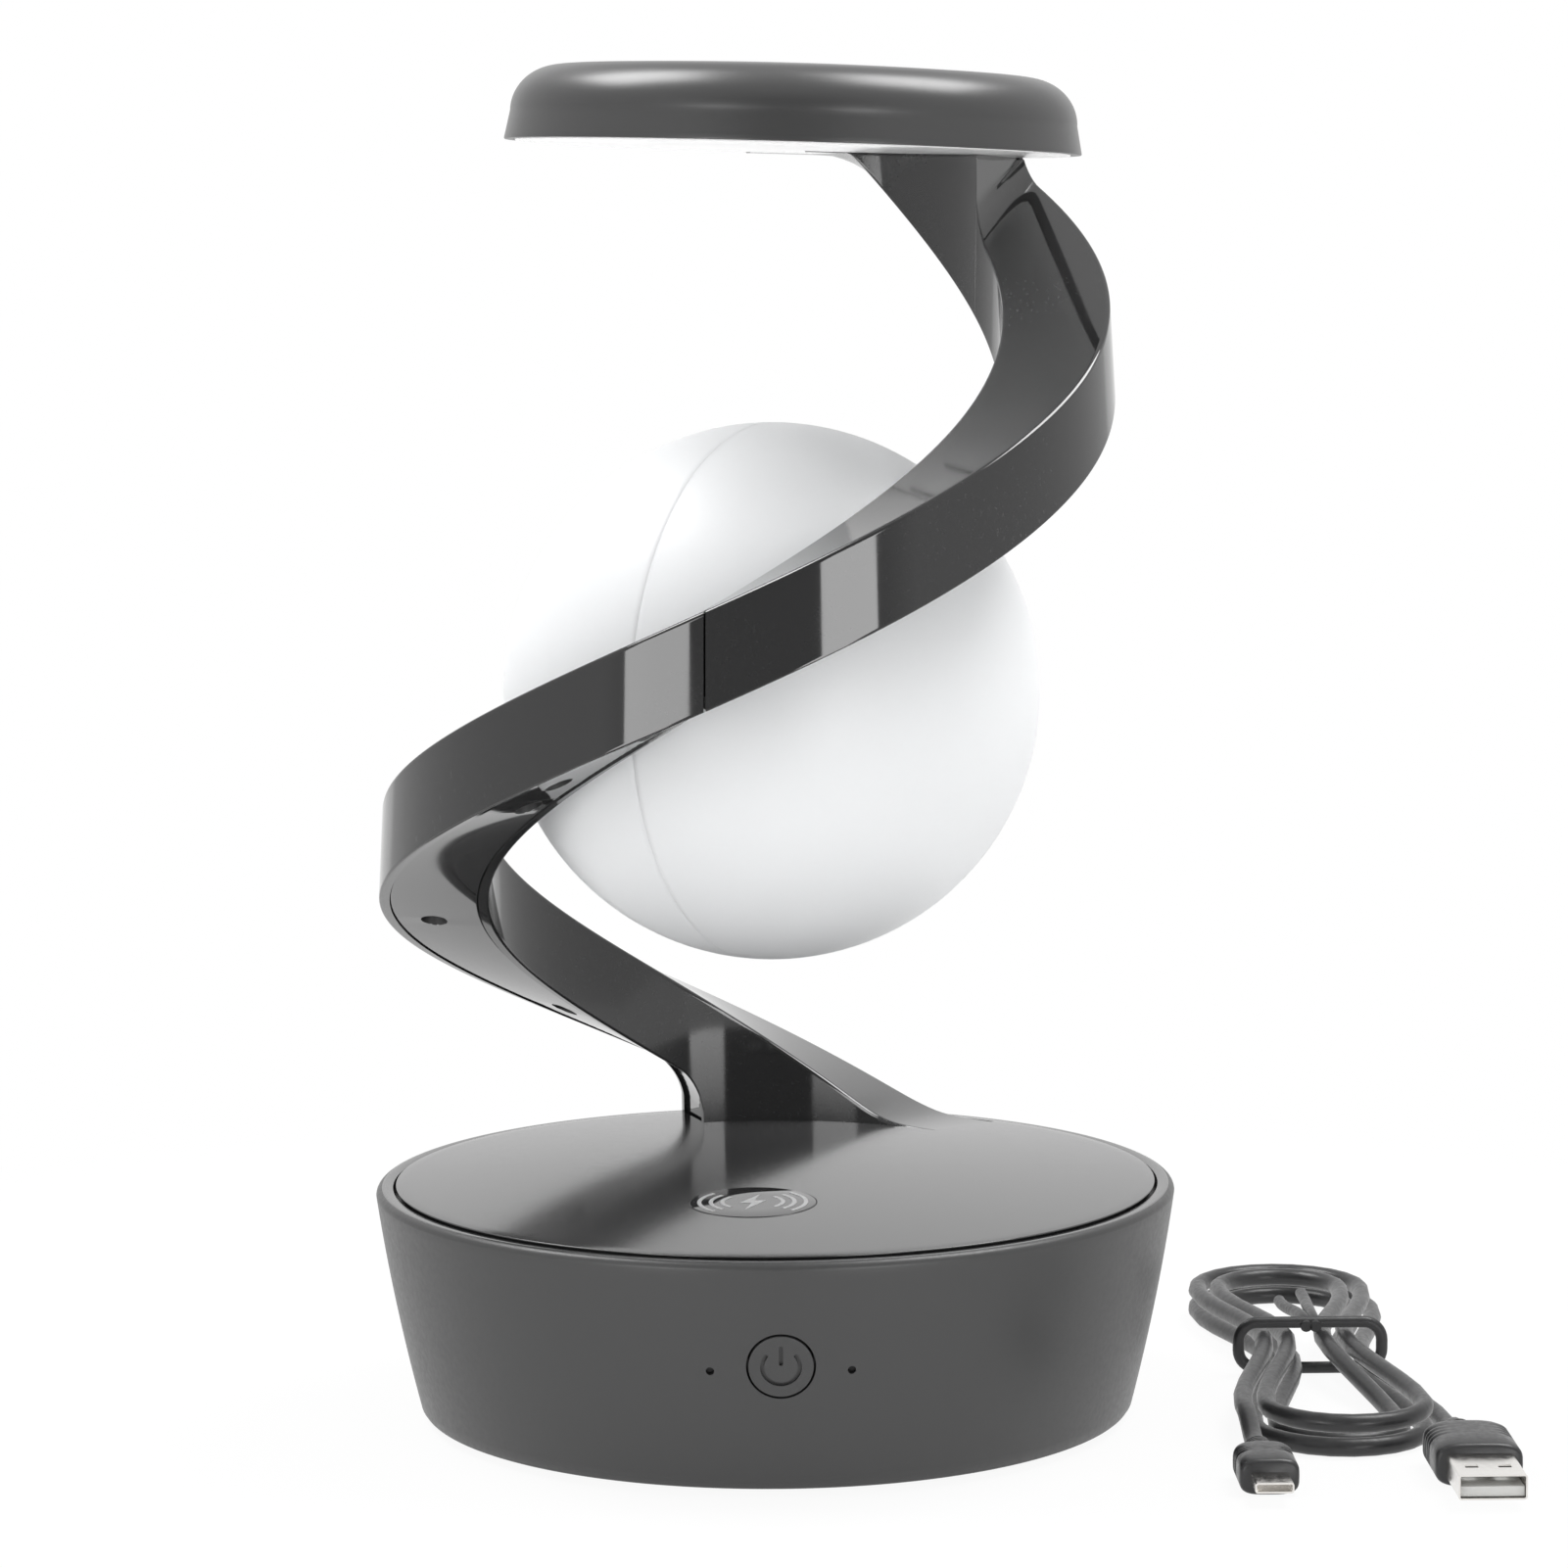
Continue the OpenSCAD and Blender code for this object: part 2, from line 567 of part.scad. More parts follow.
module usb_socket() {
    color([0.7, 0.7, 0.72])
    translate([0, socket_front - socket_len, socket_z]) rotate([-90, 0, 0]) difference() {
        pill(socket_w, socket_h, socket_len);
        translate([0, 0, 1]) difference() {
            pill(socket_w - 0.8, socket_h - 0.8, socket_len);
            translate([0, 0, -1]) linear_extrude(6) square([3.8, 0.7], center = true);
        }
    }
}

module charging_disc() {
    color([0.2, 0.2, 0.21]) at_disc() rod(disc_r, -disc_t, 0.05);
}

module charging_coil() {
    color([0.72, 0.4, 0.2]) at_disc() difference() {
        rod(coil_r, coil_z - coil_t, coil_z);
        rod(coil_in, coil_z - 2 * coil_t, coil_z + coil_t);
    }
}

module ferrite_sheet() {
    color([0.12, 0.12, 0.13]) at_disc() rod(ferrite_r, coil_z - coil_t - ferrite_t, coil_z - coil_t);
}

// Button group
module power_button() {
    color([0.3, 0.3, 0.31]) at_button() {
        rod(button_r, -3.5, 0.1);
        rod(button_r + 1.4, -4.2, -3.4);
        rod(2, -6, -4.1);
    }
}

module switch_plunger() {
    color([0.1, 0.1, 0.1]) at_button() rod(1.7, plunger_end, -6 - 0.02);
}

module tact_switch() {
    color([0.15, 0.15, 0.16]) at_button() difference() {
        slab(6, 6, -11.1, -7.6);
        rod(1.8, plunger_end - button_travel - plunger_spare, -5);
    }
}

module button_board() {
    color([0.05, 0.3, 0.14]) at_button() slab(2 * pin_x + 6, 14, -12.3, -11.1);
}

module status_leds() {
    color([0.75, 0.78, 0.8]) at_button() for (x = [-1, 1]) translate([pin_x * x, -1.2, 0])
        rod(pin_r - 0.08, -11.1, -2);
}

module foot_screws() {
    color([0.6, 0.6, 0.62]) for (b = foot_bolts) around([mid(b[0], b[1])]) {
        rod(2.8, pad_z - 1.8, pad_z);
        rod(screw_r, pad_z - 0.5, foot_seat + 4);
    }
}

// Arm
module boss_at(s, share) {
    z = mid_bot(s, share) + boss_gap;
    around([mid(s, share)]) rod(boss_rad, z, mid_cave(s, share) + arm_top * 0.6);
}

module pilot_at(s, share) {
    z = mid_bot(s, share) + boss_gap;
    around([mid(s, share)]) rod(screw_r + 0.08, z - 2, z + pilot_deep);
}

module arm_lower_channel() {
    color([0.25, 0.25, 0.26]) difference() {
        union() {
            sweep([for (s = lower_s) channel_ring(s)], arch_quads);
            for (b = below_seam) boss_at(b[0], b[1]);
            around([mid(foot_bolts[1][0], foot_bolts[1][1])])
                rod(3.2, foot_seat, mid_cave(foot_bolts[1][0], foot_bolts[1][1]) + arm_top * 0.6);
        }
        for (b = below_seam) pilot_at(b[0], b[1]);
        for (b = foot_bolts) around([mid(b[0], b[1])]) rod(screw_r + 0.08, foot_seat - 2, foot_seat + 4.5);
        at_neck() rod(neck_r + fit, wall_at - 6, wall_at + 7);
    }
}

module arm_upper_channel() {
    color([0.25, 0.25, 0.26]) difference() {
        union() {
            sweep([for (s = upper_s) channel_ring(s)], arch_quads);
            for (b = above_seam) boss_at(b[0], b[1]);
        }
        for (b = above_seam) pilot_at(b[0], b[1]);
        at_neck() rod(neck_r + fit, wall_at - 6, wall_at + 7);
        at_head() around(head_bolts) rod(screw_r + 0.5, -6, 3);
        at_head() around([head_lead]) rod(lead_r + 0.6, -6, 3);
    }
}

module cover(list, bolts) {
    difference() {
        union() {
            strip(list, strip_t);
            for (b = bolts) intersection() {
                strip(steps(max(b[0] - 5, list[0]), min(b[0] + 5, list[len(list) - 1]), 2.5), cup_h);
                around([mid(b[0], b[1])])
                    rod(cup_r, mid_bot(b[0], b[1]) - arm_h / 2, mid_bot(b[0], b[1]) + arm_h);
            }
        }
        for (b = bolts) around([mid(b[0], b[1])]) {
            rod(sink_r, mid_bot(b[0], b[1]) - arm_h / 2, mid_bot(b[0], b[1]) + sink_h);
            rod(screw_r + 0.2, mid_bot(b[0], b[1]) - arm_h / 2, mid_bot(b[0], b[1]) + arm_h);
        }
    }
}

module arm_lower_cover() {
    color([0.2, 0.2, 0.21]) cover(low_strip_s, low_screws);
}

module arm_upper_cover() {
    color([0.2, 0.2, 0.21]) cover(up_strip_s, up_screws);
}

module arm_screws() {
    color([0.5, 0.5, 0.52]) for (b = all_screws) around([mid(b[0], b[1])]) {
        rod(sink_r - 0.2, mid_bot(b[0], b[1]) + sink_h - 1.6, mid_bot(b[0], b[1]) + sink_h);
        rod(screw_r, mid_bot(b[0], b[1]) + sink_h - 0.5, mid_bot(b[0], b[1]) + boss_gap + screw_deep);
    }
}

lead_in = mid(foot_lead, lead_share);
lead_z = base_h + head_rise - (mid(head_lead_s, head_lead_share)[0] - head_x) * tan(head_tilt);
function lead_pt(s) = at3(mid(s, lead_share), mid_cave(min(s, head_end - 3), lead_share) - lead_r - 0.5);
function lead_over(s) = mid_bot(s, head_lead_share) + strip_inset + strip_t + 2 * lead_r + 0.4;
lead_path = concat([at3(lead_plug, board_z + board_t + plug_h + 0.05),
    at3(lead_plug, board_z + board_t + plug_h + 3.6), at3(lead_in, ledge_z - 7),
    at3(lead_in, ledge_z - 2), at3(lead_in, foot_seat + 1.5)],
    [for (s = steps(foot_lead + 6, head_lead_s - 9, 6)) lead_pt(s)],
    [at3(mid(head_lead_s - 4, head_lead_share), lead_over(head_lead_s - 4)),
    at3(mid(head_lead_s, head_lead_share), lead_over(head_lead_s) + 1),
    at3(mid(head_lead_s, head_lead_share), lead_z + 1.5),
    at3(mid(head_lead_s, head_lead_share), lead_z + led_z - 0.3)]);
module arm_lead() {
    refs = [for (p = lead_path) unit([p[0], p[1], 0])];
    color([0.1, 0.1, 0.1]) tube(lead_path, lead_r, 6, refs);
}

// Head
function crown(t, d) = [for (a = [0:15:90])
    [crown_r + (side_r - crown_r - t) * cos(a), side_z + (crown_z - side_z - d) * sin(a)]];
function dome_top(d) = [for (i = [7:-1:0])
    [crown_r * i / 8, head_h - d - (head_h - crown_z) * pow(i / 8, 2)]];
module head_bosses(r, w, z0, z1) {
    a = head_bolts[0];
    b = head_bolts[1];
    around(head_bolts) rod(r, z0, z1);
    translate([a[0], a[1], z0]) rotate([0, 0, atan2(b[1] - a[1], b[0] - a[0])])
        translate([0, -w / 2, 0]) cube([norm(b - a), w, z1 - z0]);
}

module head_shell() {
    ledge = diffuser_z + diffuser_t;
    color([0.36, 0.36, 0.37]) at_head() difference() {
        union() {
            rotate_extrude($fn = 144) polygon(concat([[head_r - head_t, 0], [head_r, 0]],
                crown(0, 0), dome_top(0),
                turned(dome_top(head_t)), turned(crown(head_t, head_t)),
                [[head_r - head_t - 0.6, ledge + 2], [head_r - head_t - 1.6, ledge + 1.2],
                [head_r - head_t - 1.6, ledge],
                [head_r - head_t, ledge]]));
            around(led_bolts) rod(led_post, led_z + led_t, crown_z - head_t * 0.3);
            head_bosses(head_boss, head_rib, diffuser_z, crown_z - head_t * 0.5);
        }
        around(led_bolts) rod(1.2, led_z, led_z + led_t + 4.2);
        around(head_bolts) rod(screw_r + 0.08, -1, 8.5);
    }
}

module head_diffuser() {
    color([0.93, 0.93, 0.91]) at_head() difference() {
        rod(head_r - head_t - fit, diffuser_z, diffuser_z + diffuser_t);
        head_bosses(head_boss + fit, head_rib + 2 * fit, -1, led_z);
        around([head_lead]) rod(lead_r + 0.6, -1, 9);
    }
}

module head_led_board() {
    color([0.9, 0.9, 0.9]) at_head() difference() {
        union() {
            rod(led_r, led_z, led_z + led_t);
            for (i = [0:11]) rotate([0, 0, 30 * i + 5]) translate([led_ring, 0, 0])
                slab(chip, chip, led_z - chip_t, led_z + eps);
        }
        head_bosses(head_boss + fit, head_rib + 2 * fit, -1, led_z + 2 * led_t);
        around(led_bolts) rod(1.4, 0, 12);
    }
}

module head_screws() {
    seat = arm_lift - arm_top;
    color([0.6, 0.6, 0.62]) at_head() around(head_bolts) {
        rod(2.6, seat - 1.8, seat);
        rod(screw_r, seat - 0.5, 7);
    }
}

module head_board_screws() {
    color([0.6, 0.6, 0.62]) at_head() around(led_bolts) {
        rod(2.5, led_z - 1.4, led_z);
        rod(1.1, led_z - 0.5, led_z + led_t + 3.6);
    }
}

// Globe
module globe_half(side) {
    color([0.94, 0.94, 0.93]) difference() {
        translate([0, 0, globe_z]) rotate([0, 0, neck_a]) intersection() {
            difference() {
                sphere(r = globe_r, $fn = 120);
                sphere(r = globe_r - globe_t, $fn = 120);
            }
            translate([-2 * globe_r, side > 0 ? seat_gap / 2 : -2 * globe_r - seat_gap / 2, -2 * globe_r])
                cube([4 * globe_r, 2 * globe_r, 4 * globe_r]);
        }
        at_neck() rod(neck_r + 0.15, globe_r / 2, 1.5 * globe_r);
    }
}

module globe_front_shell() {
    globe_half(1);
}

module globe_rear_shell() {
    globe_half(-1);
}

module globe_neck() {
    color([0.25, 0.25, 0.26]) at_neck() difference() {
        union() {
            rod(neck_r, neck_in, nut_at + nut_t + 1.5);
            rod(neck_collar, neck_foot, neck_wall);
            rod(neck_flange, globe_in - flange_t, globe_in);
        }
        rod(neck_hole, neck_in - 5, nut_at + nut_t + 5);
    }
}

module globe_nut() {
    color([0.6, 0.6, 0.62]) at_neck() difference() {
        rod(nut_r, nut_at, nut_at + nut_t);
        rod(neck_r + 0.05, nut_at - 5, nut_at + 9);
    }
}

module globe_led_board() {
    color([0.9, 0.9, 0.9]) at_neck() union() {
        rod(globe_board_r, neck_in - led_t - seat_gap, neck_in - seat_gap);
        for (i = [0:5]) rotate([0, 0, 60 * i]) translate([0.62 * globe_board_r, 0, 0])
            slab(chip, chip, neck_in - led_t - chip_t, neck_in - led_t);
    }
}

// Cable
module cable_hank() {
    color([0.1, 0.1, 0.1]) at_hank() tube(hank_path, cord_r, 6, [for (p = hank_path) [0, 0, 1]]);
}

module plug_body(e, gap, size) {
    at_hank() translate([e[0], e[1] - gap, size[2] / 2]) rotate([90, 0, 0]) {
        rod(2.6, seat_gap, 6);
        translate([0, 0, 5.5]) pill(size[0], size[2], size[1] - 5.5);
    }
}

module plug_shell(e, gap, body, size) {
    at_hank()
    translate([e[0], e[1] - gap - body[1] - seat_gap, body[2] / 2]) rotate([90, 0, 0]) difference() {
        slab(size[0], size[2], 0, size[1]);
        slab(size[0] - 0.7, size[2] - 0.7, 1.5, size[1] + 1);
    }
}

module usb_a_plug_body() {
    color([0.1, 0.1, 0.1]) plug_body(start_end, plug_a_gap, plug_a);
}

module usb_a_plug_shell() {
    color([0.8, 0.8, 0.82]) plug_shell(start_end, plug_a_gap, plug_a, plug_a_shell);
    color([0.9, 0.9, 0.88]) at_hank()
        translate([start_end[0], start_end[1] - plug_a_gap - plug_a[1] - 1.55, plug_a[2] / 2])
        rotate([90, 0, 0]) translate([0, -0.85, 0]) slab(plug_a_shell[0] - 0.72, 1.9, 0, plug_a_shell[1] - 2);
}

module micro_plug_body() {
    color([0.1, 0.1, 0.1]) plug_body(stop_end, plug_m_gap, plug_m);
}

module micro_plug_shell() {
    color([0.8, 0.8, 0.82]) plug_shell(stop_end, plug_m_gap, plug_m, plug_m_shell);
}

module hank_tie() {
    half = waist_out + cord_r + 0.4;
    top = cord_d + layer + waist_lift + 0.3;
    low = tie_t + 0.15;
    color([0.07, 0.07, 0.07]) at_hank()
    rotate([90, 0, 0]) translate([0, 0, -2.5]) linear_extrude(5) difference() {
        translate([-half - tie_t, low - tie_t]) square([2 * half + 2 * tie_t, top - low + 2 * tie_t]);
        translate([-half, low]) square([2 * half, top - low]);
    }
}

base_housing();
base_top_plate();
bottom_cover();
rubber_feet();
bottom_screws();
ballast_plate();
main_board();
usb_socket();
charging_disc();
charging_coil();
ferrite_sheet();
power_button();
switch_plunger();
tact_switch();
button_board();
status_leds();
foot_screws();
arm_lower_channel();
arm_upper_channel();
arm_lower_cover();
arm_upper_cover();
arm_screws();
arm_lead();
head_shell();
head_diffuser();
head_led_board();
head_screws();
head_board_screws();
globe_front_shell();
globe_rear_shell();
globe_neck();
globe_nut();
globe_led_board();
cable_hank();
usb_a_plug_body();
usb_a_plug_shell();
micro_plug_body();
micro_plug_shell();
hank_tie();
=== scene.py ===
"""Spiral table lamp: finished pieces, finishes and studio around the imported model."""

import math

import bmesh
import bpy
from bpy.props import FloatProperty, FloatVectorProperty, PointerProperty
from mathutils import Matrix, Vector


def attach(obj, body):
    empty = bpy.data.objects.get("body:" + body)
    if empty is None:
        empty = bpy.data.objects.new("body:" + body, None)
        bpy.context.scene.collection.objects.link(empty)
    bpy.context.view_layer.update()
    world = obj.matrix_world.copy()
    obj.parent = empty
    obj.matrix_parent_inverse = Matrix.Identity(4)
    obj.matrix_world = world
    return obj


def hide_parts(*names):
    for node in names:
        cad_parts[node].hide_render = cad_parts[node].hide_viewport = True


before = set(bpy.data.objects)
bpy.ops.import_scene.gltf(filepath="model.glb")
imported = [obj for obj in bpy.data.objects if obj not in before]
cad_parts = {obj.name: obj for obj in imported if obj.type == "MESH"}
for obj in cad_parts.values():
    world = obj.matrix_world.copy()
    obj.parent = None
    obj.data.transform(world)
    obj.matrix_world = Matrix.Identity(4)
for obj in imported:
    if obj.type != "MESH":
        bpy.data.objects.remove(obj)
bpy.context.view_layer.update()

bl_info = {
    "name": "Spiral table lamp",
    "version": (1, 0, 0),
    "blender": (4, 5, 0),
    "location": "3D View > Sidebar > Lamp",
    "description": "Builds the visible pieces, finishes and studio of a spiral table lamp",
    "category": "Add Mesh",
}

MM = 0.001
MERGE = 0.0005


# Sizes, colours and lights a user may change


def length(name, description, mm):
    """A length property with its default given in millimetres."""
    return FloatProperty(name=name, description=description, default=mm * MM, unit="LENGTH", precision=5)


def colour(name, description, value):
    """A colour property."""
    return FloatVectorProperty(
        name=name, description=description, default=value, subtype="COLOR", min=0.0, max=1.0)


def level(name, description, value):
    """A light level property."""
    return FloatProperty(name=name, description=description, default=value, min=0.0, unit="POWER")


class LampSizes(bpy.types.PropertyGroup):
    """Main sizes of the lamp"""

    base_radius: length("Base radius", "Radius of the base at its rim", 75.2)
    base_foot: length("Base foot radius", "Radius of the base at the table", 67.1)
    base_height: length("Base height", "Height of the rim above the table", 43.8)
    base_bulge: length("Base bulge", "How far the side swells from a straight cone", 0.6)
    plate_dome: length("Plate dome", "Rise of the top plate at its middle", 2.6)
    disc_radius: length("Charging disc radius", "Radius of the glossy charging disc", 11.6)
    button_radius: length("Button radius", "Radius of the power button", 5.72)
    globe_radius: length("Globe radius", "Outer radius of the frosted globe", 50.1)
    ribbon_width: length("Ribbon width", "Width of the spiral arm, seen from above", 19.8)
    ribbon_height: length("Ribbon height", "Height of the spiral arm's section", 17.4)
    ribbon_pitch: length("Ribbon pitch", "Rise of the spiral arm over one turn", 202.0)
    ribbon_edge: length("Ribbon edge", "Rounding of the spiral arm's edges", 0.7)
    head_radius: length("Head radius", "Radius of the lamp head at its lower edge", 53.7)
    head_height: length("Head height", "Height of the lamp head", 15.3)
    cord_diameter: length("Cord diameter", "Thickness of the charging cord", 3.5)


class LampColours(bpy.types.PropertyGroup):
    """Colours of the lamp's finishes"""

    base_grey: colour("Base grey", "Matte grey of the base, button and head", (0.037, 0.037, 0.0375))
    arm_grey: colour("Arm grey", "Gloss grey of the spiral arm", (0.019, 0.019, 0.0194))
    cover_grey: colour("Cover grey", "Gloss grey of the strips under the arm", (0.018, 0.018, 0.0184))
    globe_white: colour("Globe white", "Frosted white of the globe", (0.88, 0.893, 0.905))
    diffuser_white: colour("Diffuser white", "White of the panel under the head", (0.93, 0.93, 0.93))
    disc_black: colour("Disc black", "Gloss black of the charging disc", (0.03, 0.03, 0.031))
    print_grey: colour("Print grey", "Printed sign on the charging disc", (0.62, 0.62, 0.625))
    cord_black: colour("Cord black", "Satin black of the cord and plugs", (0.022, 0.022, 0.023))
    nickel: colour("Nickel", "Bright plating of the plug shells", (0.78, 0.76, 0.73))


class LampLights(bpy.types.PropertyGroup):
    """Levels of the studio lights"""

    surround: FloatProperty(
        name="Surround", description="Level of the even white surround", default=0.57, min=0.0)
    overhead: level("Overhead", "Power of the two soft lights above", 28.0)
    left_side: level("Left side", "Power of the soft light at the left", 4.0)
    right_side: level("Right side", "Power of the soft light at the right", 3.8)
    strips: level("Strips", "Power of each upright light mirrored in gloss", 5.5)


class Millimetres:
    """Reads a group of lengths in millimetres."""

    def __init__(self, group):
        self.group = group

    def __getattr__(self, name):
        return getattr(self.group, name) / MM


def sizes():
    """The lamp's sizes in millimetres."""
    return Millimetres(bpy.context.scene.lamp_sizes)


def colours():
    """The lamp's colours."""
    return bpy.context.scene.lamp_colours


# Small sums


def mix(a, b, t):
    """The value a share t of the way from a to b."""
    return a + (b - a) * t


def ease(t):
    """A smooth step from 0 to 1."""
    u = min(max(t, 0.0), 1.0)
    return u * u * (3.0 - 2.0 * u)


def spread(a, b, step):
    """Even stations from a to b, no further apart than step."""
    n = max(math.ceil((b - a) / step), 1)
    return [a + (b - a) * i / n for i in range(n + 1)]


def arc(cx, cy, r, start, stop, n, high=None):
    """Points of an arc, with its angles in degrees; an oval one has an upright radius of its own."""
    ry = r if high is None else high
    turns = [math.radians(mix(start, stop, i / n)) for i in range(n + 1)]
    return [(cx + r * math.cos(t), cy + ry * math.sin(t)) for t in turns]


def stroke(r, line, start, stop, n):
    """Outline of a bent stroke: an arc along its outer side and back along its inner one."""
    return arc(0.0, 0.0, r, start, stop, n) + arc(0.0, 0.0, r - line, stop, start, n)


def lifted(flat):
    """Plan points and their heights as points in the room."""
    return [Vector((p.x, p.y, z)) for p, z in flat]


def turned(axis, degrees):
    """A turn about an axis."""
    return Matrix.Rotation(math.radians(degrees), 4, axis)


# Base

FEET = 1.2
FOOT_ROUND = 0.8
RIM_ROUND = 1.5
RIM_DROP = 0.2
RIM_SLOPE = 0.12
LIP_ROUND = 0.12
WALL = 2.6
WALL_FROM = 0.9
WALL_PAST = 0.15
WALL_STEP = 1.7
INSIDE_Z = (8.0, 37.0)
INSIDE_STEP = 4.0
WELL_R = 72.0
LEDGE_Z = 41.0
LEDGE_IN = 66.5
LEDGE_T = 2.0
COVER_SEAT = (64.1, 3.2)
COVER_LIP = (61.9, 4.8)
PLATE_R = 71.5
PLATE_IN = 65.8
PLATE_T = 2.2
EDGE_Z = 44.0
EDGE_ROUND = 0.2
EDGE_UNDERCUT = 0.9
EDGE_T = 0.5
BUTTON_Z = 24.6
BUTTON_GAP = 0.4
PIN_AT = (12.4, -1.2)
PIN_R = 0.74
CUT_FROM = -6.0
CUT_TO = 3.0
SLOT_Z = 17.05
SLOT_HALF = 2.35
SLOT_R = 1.65
SLOT_PAST = 5.0
SLOT_DEEP = 25.0
DISC_AT = (-4.5, -34.0)
DISC_GAP = 0.15
DISC_SEAT = -0.8


def wall_r(z):
    """Radius of the base's side at a height."""
    size = sizes()
    t = (z - FEET) / (size.base_height - RIM_ROUND - FEET)
    return mix(size.base_foot, size.base_radius, t) + 4.0 * size.base_bulge * t * (1.0 - t)


def deck_z(r):
    """Height of the top plate at a radius."""
    return EDGE_Z + sizes().plate_dome * (1.0 - (r / PLATE_R) ** 2)


def button_place():
    """Matrix of the button: Z points out of the wall, Y up along it."""
    lean = math.atan((wall_r(BUTTON_Z + 1.0) - wall_r(BUTTON_Z - 1.0)) / 2.0)
    spot = Matrix.Translation((0.0, -wall_r(BUTTON_Z), BUTTON_Z))
    return spot @ Matrix.Rotation(math.pi / 2.0 + lean, 4, "X")


def disc_place():
    """Matrix of the charging disc on the sloping plate, with X and Y as in the room."""
    far = math.hypot(*DISC_AT)
    turn = math.atan2(DISC_AT[1], DISC_AT[0])
    slope = math.atan(2.0 * sizes().plate_dome * far / PLATE_R ** 2)
    spot = Matrix.Translation((DISC_AT[0], DISC_AT[1], deck_z(far)))
    there, back = Matrix.Rotation(turn, 4, "Z"), Matrix.Rotation(-turn, 4, "Z")
    return spot @ there @ Matrix.Rotation(slope, 4, "Y") @ back


# Spiral arm

ARM_AT = (-1.73, -1.98)
ARM_FROM = 59.25
GLOBE_GAP = 1.9
OUT_END = 6.15
OUT_POWER = 2.5
IN_END = 19.5
IN_POWER = 4.4
MID_TURN = 270.0
MID_RISE = 110.3
LEAN = (-0.0203, 0.0222)
SKEW_FROM = 345.0
SKEW_RUN = 33.0
SKEW_IN = 8.5
SKEW_OUT = 12.0
DRAFT_RUN = 20.0
DRAFT_OUT = 0.98
DRAFT_IN = 0.37
DIP_TO = 123.0
DIP = 0.0006
LIFT_FROM = 339.3
LIFT = 0.0012
FOOT_FROM = 50.0
FOOT_THIN = 13.0
FOOT_SINK = 0.03
FOOT_LEAST = 0.25
FOOT_SOLID = 74.0
FOOT_END = 103.2
FOOT_SEAT = 42.4
FOOT_BLEND = 1.4
SEAT_GAP = 0.05
SEAT_CUT = 12.0
ARM_SEAM = 261.4
SEAM_GAP = 0.28
HEAD_END = 383.2
CAVE_PAST = 2.4
TOE_SOLID = 403.0
TOE_END = 440.0
TOE_BLEND = 0.6
TOE_LEAST = 0.4
END_FILLET = 7.0
FILLET_DEG = 5.3
FILLET_STEPS = [FILLET_DEG * (1.0 - math.cos(math.radians(t))) for t in range(0, 90, 9)]
ARM_WALL = 2.0
ARM_TOP = 2.2
FILLED_GAP = 0.3
FILLED_SHARE = 0.4
ARM_STEP = 1.2
CLOSE = 0.05
LOWER_EDGE = 0.7
STRIP_SPLIT = 226.3
STRIP_JOINT = 0.12
STRIP_GAP = 0.14
STRIP_INSET = 0.3
STRIP_T = 2.0
STRIP_EDGE = 0.25
STRIP_LEAD = 0.5
STRIP_TAIL = 2.1
STRIP_SEAT = 0.1
STRIP_STOP = 1.0
STRIP_STEP = 1.5
LOW_SCREWS = ((130.0, 0.45), (172.7, 0.55), (223.4, 0.35))
UP_SCREWS = ((232.7, 0.47), (250.7, 0.42), (300.0, 0.45), (345.0, 0.45))
SINK_R = 2.5
SINK_H = 3.0
SINK_PAST = 9.0
CUP_R = 3.4
CUP_H = 5.0
CUP_BRIM = 2.6
CUP_HOLE = 1.3
CUP_T = 0.08
CUP_FIT = 0.01
CUP_INSET = 0.06
HEAD_AT = (4.7, 7.9)
HEAD_RISE = 192.9
HEAD_BITE = 0.25
HEAD_TILT = math.radians(2.06)


